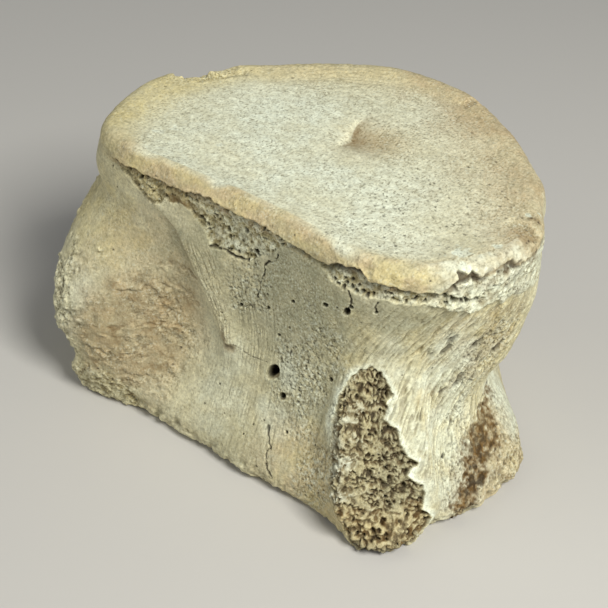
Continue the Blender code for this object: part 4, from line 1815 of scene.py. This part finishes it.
def put_in_scene(name: str, data: bpy.types.ID) -> bpy.types.Object:
    """Puts a new object in the scene.

    Args:
        name: The object's name.
        data: Its mesh, camera or lamp.

    Returns:
        The object.
    """
    made = bpy.data.objects.new(name, data)
    bpy.context.scene.collection.objects.link(made)
    return made


@dataclass(frozen=True)
class Seat:
    """The upright plane behind a stump, where it is cut off the body."""

    angle: float     # direction from the axis to the plane
    distance: float  # from the axis to the plane
    start: float     # first and last angle of the stump
    stop: float
    top: float  # height of the stump

    def radius(self, angle: Grid) -> Grid:
        """Distance from the axis to the plane in each direction."""
        return self.distance / np.cos(np.radians(angle - self.angle))


RIGHT_SEAT = Seat(-158.0, 43.0, RIGHT_START, RIGHT_STOP, RIGHT_TOP)
PEDICLE_SEAT = Seat(-41.0, 46.0, PEDICLE_START, PEDICLE_STOP, PEDICLE_TOP)
LEFT_SEAT = Seat(9.0, 46.0, PEDICLE_STOP, LEFT_STOP, LEFT_TOP)
SEATS = (RIGHT_SEAT, PEDICLE_SEAT, LEFT_SEAT)
SEAT_COLUMNS = 12  # columns that line the room behind a stump
WELD = 1e-4        # vertices nearer than this are joined
ON_AXIS = 1e-6     # vertices nearer to the axis than this lie on it


@dataclass
class Lines:
    """Rows or columns of a piece: where they are in the skin, and which of them lie on a seat."""

    index: list = field(default_factory=list)
    seated: list = field(default_factory=list)

    def add(self, first: int, last: int, seated: bool = False, step: int = 1) -> "Lines":
        """Adds a run of lines.

        Args:
            first: The run's first line.
            last: Its last line.
            seated: Whether the run lies on a seat.
            step: How many lines of the skin go to each one of the run.

        Returns:
            All of the lines so far.
        """
        run = list(range(first, last, step)) + [last]
        self.index += run
        self.seated += [seated] * len(run)
        return self


@dataclass
class Piece:
    """A cut-out of the skin, closed behind: one piece of the bone."""

    name: str
    node: str
    finish: BoneFinish
    rows: Lines
    columns: Lines

    def build(self, skin: Skin) -> bpy.types.Object:
        """Makes the piece's object.

        Args:
            skin: The carved skin.

        Returns:
            The finished object, riding on the frame.
        """
        bm = bmesh.new()
        bmesh.ops.create_grid(
            bm, x_segments=len(self.columns.index) - 1, y_segments=len(self.rows.index) - 1, size=0.5
        )
        origin = bm.verts.layers.int.new("origin")
        level = bm.verts.layers.float.new("level")
        rows, columns = np.array(self.rows.index), np.array(self.columns.index)
        seated = np.any([mask for _, mask in self.seats(skin, columns)], axis=0)
        numbers = np.where(seated, 0, rows[:, None] * len(skin.angle) + columns + 1)
        levels = np.broadcast_to(skin.level[rows][:, None], numbers.shape)
        grids = (numbers.ravel(), levels.ravel(), self.places(skin, rows, columns).reshape(-1, 3))
        for vert, number, height, place in zip(bm.verts, *(grid.tolist() for grid in grids)):
            vert[origin] = number
            vert[level] = height
            vert.co = place
        self.weld(bm, len(rows), len(columns))
        self.close(bm)
        bmesh.ops.recalc_face_normals(bm, faces=bm.faces)
        if bm.calc_volume(signed=True) < 0:
            bmesh.ops.reverse_faces(bm, faces=bm.faces)
        bmesh.ops.translate(bm, verts=bm.verts, vec=AXIS)
        bmesh.ops.scale(bm, verts=bm.verts, vec=(MM, MM, MM))
        mesh = bpy.data.meshes.new(self.name)
        bm.to_mesh(mesh)
        bm.free()
        origins = np.zeros(len(mesh.vertices), dtype=np.int32)
        mesh.attributes["origin"].data.foreach_get("value", origins)
        mesh.attributes.remove(mesh.attributes["origin"])
        mesh.attributes.remove(mesh.attributes["level"])
        self.write_marks(mesh, skin, origins)
        self.shade(mesh, skin, origins)
        mesh.materials.append(self.finish.material())
        return self.place_object(mesh)

    def seats(self, skin: Skin, columns: Grid) -> list:
        """Tells which of the piece's vertices lie on a seat.

        Args:
            skin: The carved skin.
            columns: The piece's columns in the skin.

        Returns:
            Each seat, with a grid of yes or no.
        """
        turned = skin.angle[columns]
        lined = np.array(self.rows.seated)[:, None] | np.array(self.columns.seated)
        return [(seat, lined & (turned >= seat.start) & (turned <= seat.stop)) for seat in SEATS]

    def places(self, skin: Skin, rows: Grid, columns: Grid) -> Grid:
        """Places of the piece's vertices, on the skin or on a seat.

        Args:
            skin: The carved skin.
            rows: The piece's rows in the skin.
            columns: The piece's columns in the skin.

        Returns:
            A grid of places.
        """
        places = skin.place[np.ix_(rows, columns)]
        turned = np.radians(skin.angle[columns])
        for seat, seated in self.seats(skin, columns):
            if not seated.any():
                continue
            reach = seat.radius(skin.angle[columns]) * skin.share[rows][:, None]
            on_seat = stacked(reach * np.cos(turned), reach * np.sin(turned), skin.level[rows][:, None])
            places = np.where(seated[..., None], on_seat, places)
        return places

    def weld(self, bm: BMesh, row_count: int, column_count: int) -> None:
        """Joins what meets in the grid: nothing, unless the piece goes round the bone."""

    def close(self, bm: BMesh) -> None:
        """Closes the piece towards the bone's axis."""
        extrude_border(bm, border_edges(bm), lambda place, level: Vector((0.0, 0.0, level)))
        join_on_axis(bm)

    def write_marks(self, mesh: bpy.types.Mesh, skin: Skin, origins: Grid) -> None:
        """Gives each vertex of the skin its marks; the closing faces have none.

        Args:
            mesh: The piece's mesh.
            skin: The carved skin.
            origins: For each vertex, its number in the skin, or 0.
        """
        on_skin = origins > 0
        for mark, grid in skin.marks.items():
            values = np.full(len(origins), 0.5 if mark is RAISED else 0.0, dtype=np.float32)
            values[on_skin] = grid.ravel()[origins[on_skin] - 1]
            layer = mesh.attributes.new(mark.value, "FLOAT", "POINT")
            layer.data.foreach_set("value", values)

    def shade(self, mesh: bpy.types.Mesh, skin: Skin, origins: Grid) -> None:
        """Gives the outside the whole skin's normals, so that no seam shows between two pieces.

        Args:
            mesh: The piece's mesh.
            skin: The carved skin.
            origins: For each vertex, its number in the skin, or 0.
        """
        corners = np.zeros(len(mesh.loops), dtype=np.int32)
        mesh.loops.foreach_get("vertex_index", corners)
        starts = np.zeros(len(mesh.polygons), dtype=np.int32)
        mesh.polygons.foreach_get("loop_start", starts)
        normals = np.zeros(3 * len(mesh.polygons), dtype=np.float32)
        mesh.polygons.foreach_get("normal", normals)
        outside = np.minimum.reduceat(origins[corners], starts) > 0
        mesh.polygons.foreach_set("use_smooth", outside)
        sizes = np.diff(np.append(starts, len(corners)))
        normals = np.repeat(normals.reshape(-1, 3), sizes, axis=0)
        shown = np.repeat(outside, sizes)
        normals[shown] = skin.normal.reshape(-1, 3)[origins[corners[shown]] - 1]
        mesh.normals_split_custom_set(normals.tolist())

    def place_object(self, mesh: bpy.types.Mesh) -> bpy.types.Object:
        """Puts the mesh in the scene and joins it to the frame.

        Args:
            mesh: The finished mesh.

        Returns:
            The piece's object.
        """
        piece = put_in_scene(self.name, mesh)
        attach(piece, BODY)
        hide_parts(self.node)
        log.info("%s: %d faces", self.name, len(mesh.polygons))
        return piece


@dataclass
class StumpPiece(Piece):
    """A piece that ends behind on the upright plane of its seat."""

    seat: Seat = PEDICLE_SEAT

    def close(self, bm: BMesh) -> None:
        """Closes the piece with flat sides and a flat back.

        Args:
            bm: The piece's mesh.
        """

        def on_seat(place: Vector, level: float) -> Vector:
            """Moves a place in to the seat.

            Args:
                place: A place on the skin.
                level: Its height on the uncarved skin.

            Returns:
                The point of the seat in the same direction from the axis.
            """
            angle = math.atan2(place.y, place.x)
            radius = self.seat.distance / math.cos(angle - math.radians(self.seat.angle))
            return Vector((radius * math.cos(angle), radius * math.sin(angle), level))

        back = extrude_border(bm, border_edges(bm), on_seat)
        bmesh.ops.contextual_create(bm, geom=back)


@dataclass
class RingPiece(Piece):
    """A piece that goes all round the bone."""

    def weld(self, bm: BMesh, row_count: int, column_count: int) -> None:
        """Joins the first column to the last, and a pole's vertices to one.

        Args:
            bm: The piece's mesh.
            row_count: How many rows it has.
            column_count: How many columns it has.
        """
        bm.verts.ensure_lookup_table()
        seam = [bm.verts[row * column_count] for row in range(row_count)]
        seam += [bm.verts[(row + 1) * column_count - 1] for row in range(row_count)]
        ends = [bm.verts[column] for column in range(column_count)]
        ends += [bm.verts[(row_count - 1) * column_count + column] for column in range(column_count)]
        bmesh.ops.remove_doubles(bm, verts=list(set(seam + ends)), dist=WELD)


@dataclass
class PlatePiece(RingPiece):
    """The lower plate: a ring down to the ground, closed above."""

    def close(self, bm: BMesh) -> None:
        """Closes the plate above and drops faces without an area."""
        super().close(bm)
        bmesh.ops.dissolve_degenerate(bm, dist=WELD, edges=bm.edges)


@dataclass
class DiscPiece(RingPiece):
    """The inner part of the upper plate: a disc with an upright edge."""

    def close(self, bm: BMesh) -> None:
        """Closes the disc with an upright edge and a level underside.

        Args:
            bm: The piece's mesh.
        """
        drop = HEIGHT - PLATE
        edges = extrude_border(bm, border_edges(bm), lambda place, level: Vector((*place.xy, drop)))
        extrude_border(bm, edges, lambda place, level: Vector((0.0, 0.0, drop)))
        join_on_axis(bm)


@dataclass
class BorderPiece(RingPiece):
    """The outer part of the upper plate: a ring with an upright inner edge."""

    def close(self, bm: BMesh) -> None:
        """Closes the ring with an upright inner edge and a level underside.

        Args:
            bm: The piece's mesh.
        """
        drop = HEIGHT - PLATE
        border = border_edges(bm)
        inner = [edge for edge in border if edge.verts[0].co.z > drop + PLATE / 2]
        outer = [edge for edge in border if edge.verts[0].co.z <= drop + PLATE / 2]
        foot = extrude_border(bm, inner, lambda place, level: Vector((*place.xy, drop)))
        bmesh.ops.bridge_loops(bm, edges=outer + foot)


def border_edges(bm: BMesh) -> list:
    """Makes the open edges of a mesh sharp.

    Args:
        bm: The mesh.

    Returns:
        Those edges.
    """
    border = [edge for edge in bm.edges if edge.is_boundary]
    for edge in border:
        edge.smooth = False
    return border


def extrude_border(bm: BMesh, edges: list, target: Callable) -> list:
    """Extrudes open edges, moves the new vertices and returns the new open edges.

    Args:
        bm: The mesh.
        edges: The open edges.
        target: Gives the place of a new vertex, from the place and the level it starts at.

    Returns:
        The edges between the new vertices.
    """
    made = bmesh.ops.extrude_edge_only(bm, edges=edges)["geom"]
    origin = bm.verts.layers.int["origin"]
    level = bm.verts.layers.float["level"]
    verts = {item for item in made if isinstance(item, bmesh.types.BMVert)}
    for vert in verts:
        vert.co = target(vert.co, vert[level])
        vert[origin] = 0
    return [item for item in made if isinstance(item, bmesh.types.BMEdge) and set(item.verts) <= verts]


def join_on_axis(bm: BMesh) -> None:
    """Joins the vertices that meet on the bone's axis."""
    bmesh.ops.remove_doubles(bm, verts=[v for v in bm.verts if v.co.xy.length < ON_AXIS], dist=WELD)


@dataclass
class Vertebra:
    """The whole bone, as pieces that stand for the frame's nodes."""

    skin: Skin

    def columns(self, start: float, stop: float) -> Lines:
        """The columns between two angles."""
        return Lines().add(self.skin.column(start), self.skin.column(stop))

    def levels(self, low: float, high: float) -> Lines:
        """The wall's rows between two heights."""
        return Lines().add(self.skin.row(low), self.skin.row(high))

    def sector(self, name: str, start: float, stop: float, seat_top: float = PLATE) -> Piece:
        """A sector of the body, with room for a stump.

        Args:
            name: The piece's name.
            start: The sector's first angle.
            stop: Its last angle.
            seat_top: Height of the room for the stump.

        Returns:
            The piece.
        """
        rows = Lines()
        low, top = self.skin.row(PLATE), self.skin.row(seat_top)
        if top > low:
            rows.add(low, top, True, top - low)
        rows.add(top, self.skin.row(HEIGHT - PLATE))
        return Piece(name, "centrum", WALL_BONE, rows, self.columns(start, stop))

    def stump(self, name: str, node: str, finish: BoneFinish, seat: Seat) -> Piece:
        """A stump's piece, down to the ground."""
        rows = self.levels(0.0, seat.top)
        return StumpPiece(name, node, finish, rows, self.columns(seat.start, seat.stop), seat)

    def lower_plate(self) -> Piece:
        """Lays out the lower plate, with room for the stumps.

        Returns:
            The piece.
        """
        rows, columns = Lines().add(0, self.skin.row(PLATE)), Lines()
        here = SEAM
        for seat in SEATS:
            first, last = self.skin.column(seat.start), self.skin.column(seat.stop)
            if here < seat.start:
                columns.add(self.skin.column(here), first)
            columns.add(first, last, True, max((last - first) // SEAT_COLUMNS, 1))
            here = seat.stop
        columns.add(self.skin.column(here), len(self.skin.angle) - 1)
        return PlatePiece("lower_epiphysis_plate", "lower_epiphysis", PLATE_BONE, rows, columns)

    def upper_plate(self) -> tuple:
        """Lays out the upper plate.

        Returns:
            Its border and its disc.
        """
        edge = self.skin.crown_row(CROWN_BORDER)
        around = self.columns(SEAM, SEAM + 360.0)
        border = Lines().add(self.skin.row(HEIGHT - PLATE), edge)
        disc = Lines().add(edge, len(self.skin.share) - 1)
        return (
            BorderPiece("upper_epiphysis_border", "upper_epiphysis", PLATE_BONE, border, around),
            DiscPiece("upper_epiphysis_disc", "upper_epiphysis", PLATE_BONE, disc, around),
        )

    def build(self) -> list:
        """Makes every piece of the bone."""
        pieces = [
            self.sector("centrum_behind_right", SEAM, RIGHT_START),
            self.sector("centrum_over_right_process", RIGHT_START, RIGHT_STOP, RIGHT_TOP),
            self.sector("centrum_front", RIGHT_STOP, PEDICLE_START),
            self.sector("centrum_over_left_pedicle", PEDICLE_START, PEDICLE_STOP, PEDICLE_TOP),
            self.sector("centrum_over_left_process", PEDICLE_STOP, LEFT_STOP, LEFT_TOP),
            self.sector("centrum_belly", LEFT_STOP, SEAM + 360.0),
            self.stump("right_process_end", "right_process_stump", BROKEN_BONE, RIGHT_SEAT),
            self.stump("left_pedicle_end", "left_pedicle_stump", SPONGY_BONE, PEDICLE_SEAT),
            self.stump("left_process_end", "left_process_stump", BROKEN_BONE, LEFT_SEAT),
            self.lower_plate(),
            *self.upper_plate(),
        ]
        return [piece.build(self.skin) for piece in pieces]


# ---- Studio ----


@dataclass(frozen=True)
class Camera:
    """The photograph's viewpoint, above and in front of the bone."""

    azimuth: float = 35.0
    elevation: float = 37.0
    roll: float = 4.0
    view_angle: float = 24.0
    distance: float = 437.0
    target: tuple = (9.5, -17.4, 45.0)

    def build(self) -> None:
        """Puts the camera in the scene and makes it the scene's own."""
        a, e, r = (math.radians(value) for value in (self.azimuth, self.elevation, self.roll))
        back = Vector((math.cos(e) * math.sin(a), -math.cos(e) * math.cos(a), math.sin(e)))
        level = Vector((math.cos(a), math.sin(a), 0.0))
        upright = back.cross(level)
        right = level * math.cos(r) + upright * math.sin(r)
        up = upright * math.cos(r) - level * math.sin(r)
        data = bpy.data.cameras.new("camera")
        data.sensor_fit = "HORIZONTAL"
        data.angle = math.radians(self.view_angle)
        data.clip_start = 0.01
        camera = put_in_scene("camera", data)
        turned = Matrix((right, up, back)).transposed().to_4x4()
        place = (Vector(self.target) + back * self.distance) * MM
        camera.matrix_world = Matrix.Translation(place) @ turned
        bpy.context.scene.camera = camera


@dataclass(frozen=True)
class SoftLight:
    """A square lamp that looks at the bone."""

    name: str
    towards: tuple  # direction from the bone to the lamp
    distance: float
    size: float
    power: float
    colour: tuple

    def build(self) -> None:
        """Puts the lamp in the scene."""
        data = bpy.data.lights.new(self.name, "AREA")
        data.shape = "SQUARE"
        data.size = self.size * MM
        data.energy = self.power
        data.color = self.colour
        lamp = put_in_scene(self.name, data)
        away = Vector(self.towards).normalized()
        aim = Vector((0.0, 0.0, HEIGHT / 2))
        turned = away.to_track_quat("Z", "Y").to_matrix().to_4x4()
        lamp.matrix_world = Matrix.Translation((aim + away * self.distance) * MM) @ turned


@dataclass(frozen=True)
class Studio:
    """A pale floor, soft lamps and an even surrounding light."""

    floor_size: float = 6000.0
    floor_colour: tuple = srgb(196, 194, 188)
    floor_roughness: float = 0.9
    surrounding: float = 0.19
    surrounding_colour: tuple = (0.93, 0.96, 1.0, 1.0)
    lamps: tuple = (
        SoftLight("key", (0.62, -0.22, 0.74), 900.0, 330.0, 8.6, (1.0, 0.985, 0.95)),
        SoftLight("fill", (-0.55, -0.75, 0.55), 1100.0, 900.0, 2.4, (1.0, 0.99, 0.97)),
    )

    def build(self) -> None:
        """Makes the floor, the lamps and the surroundings."""
        bm = bmesh.new()
        bmesh.ops.create_grid(bm, x_segments=4, y_segments=4, size=self.floor_size * MM / 2)
        mesh = bpy.data.meshes.new("floor")
        bm.to_mesh(mesh)
        bm.free()
        material = bpy.data.materials.new("floor")
        material.use_nodes = True
        shader = material.node_tree.nodes["Principled BSDF"]
        shader.inputs["Base Color"].default_value = self.floor_colour
        shader.inputs["Roughness"].default_value = self.floor_roughness
        mesh.materials.append(material)
        floor = put_in_scene("floor", mesh)
        for lamp in self.lamps:
            lamp.build()
        world = bpy.data.worlds.new("surroundings")
        world.use_nodes = True
        background = world.node_tree.nodes["Background"]
        background.inputs["Color"].default_value = self.surrounding_colour
        background.inputs["Strength"].default_value = self.surrounding
        bpy.context.scene.world = world
        bpy.context.scene.view_settings.view_transform = "Standard"
        bpy.context.scene.view_settings.look = "None"


def main() -> None:
    """Builds the camera, the bone and the studio."""
    logging.basicConfig(level=logging.INFO, format="%(message)s")
    Camera().build()
    skin = Skin()
    log.info("skin: %d rows, %d columns", *skin.place.shape[:2])
    for relief in RELIEFS:
        relief.carve(skin)
    skin.finish()
    pieces = Vertebra(skin).build()
    log.info("bone: %d pieces, %d faces", len(pieces), sum(len(p.data.polygons) for p in pieces))
    Studio().build()


if __name__ == "__main__":
    main()
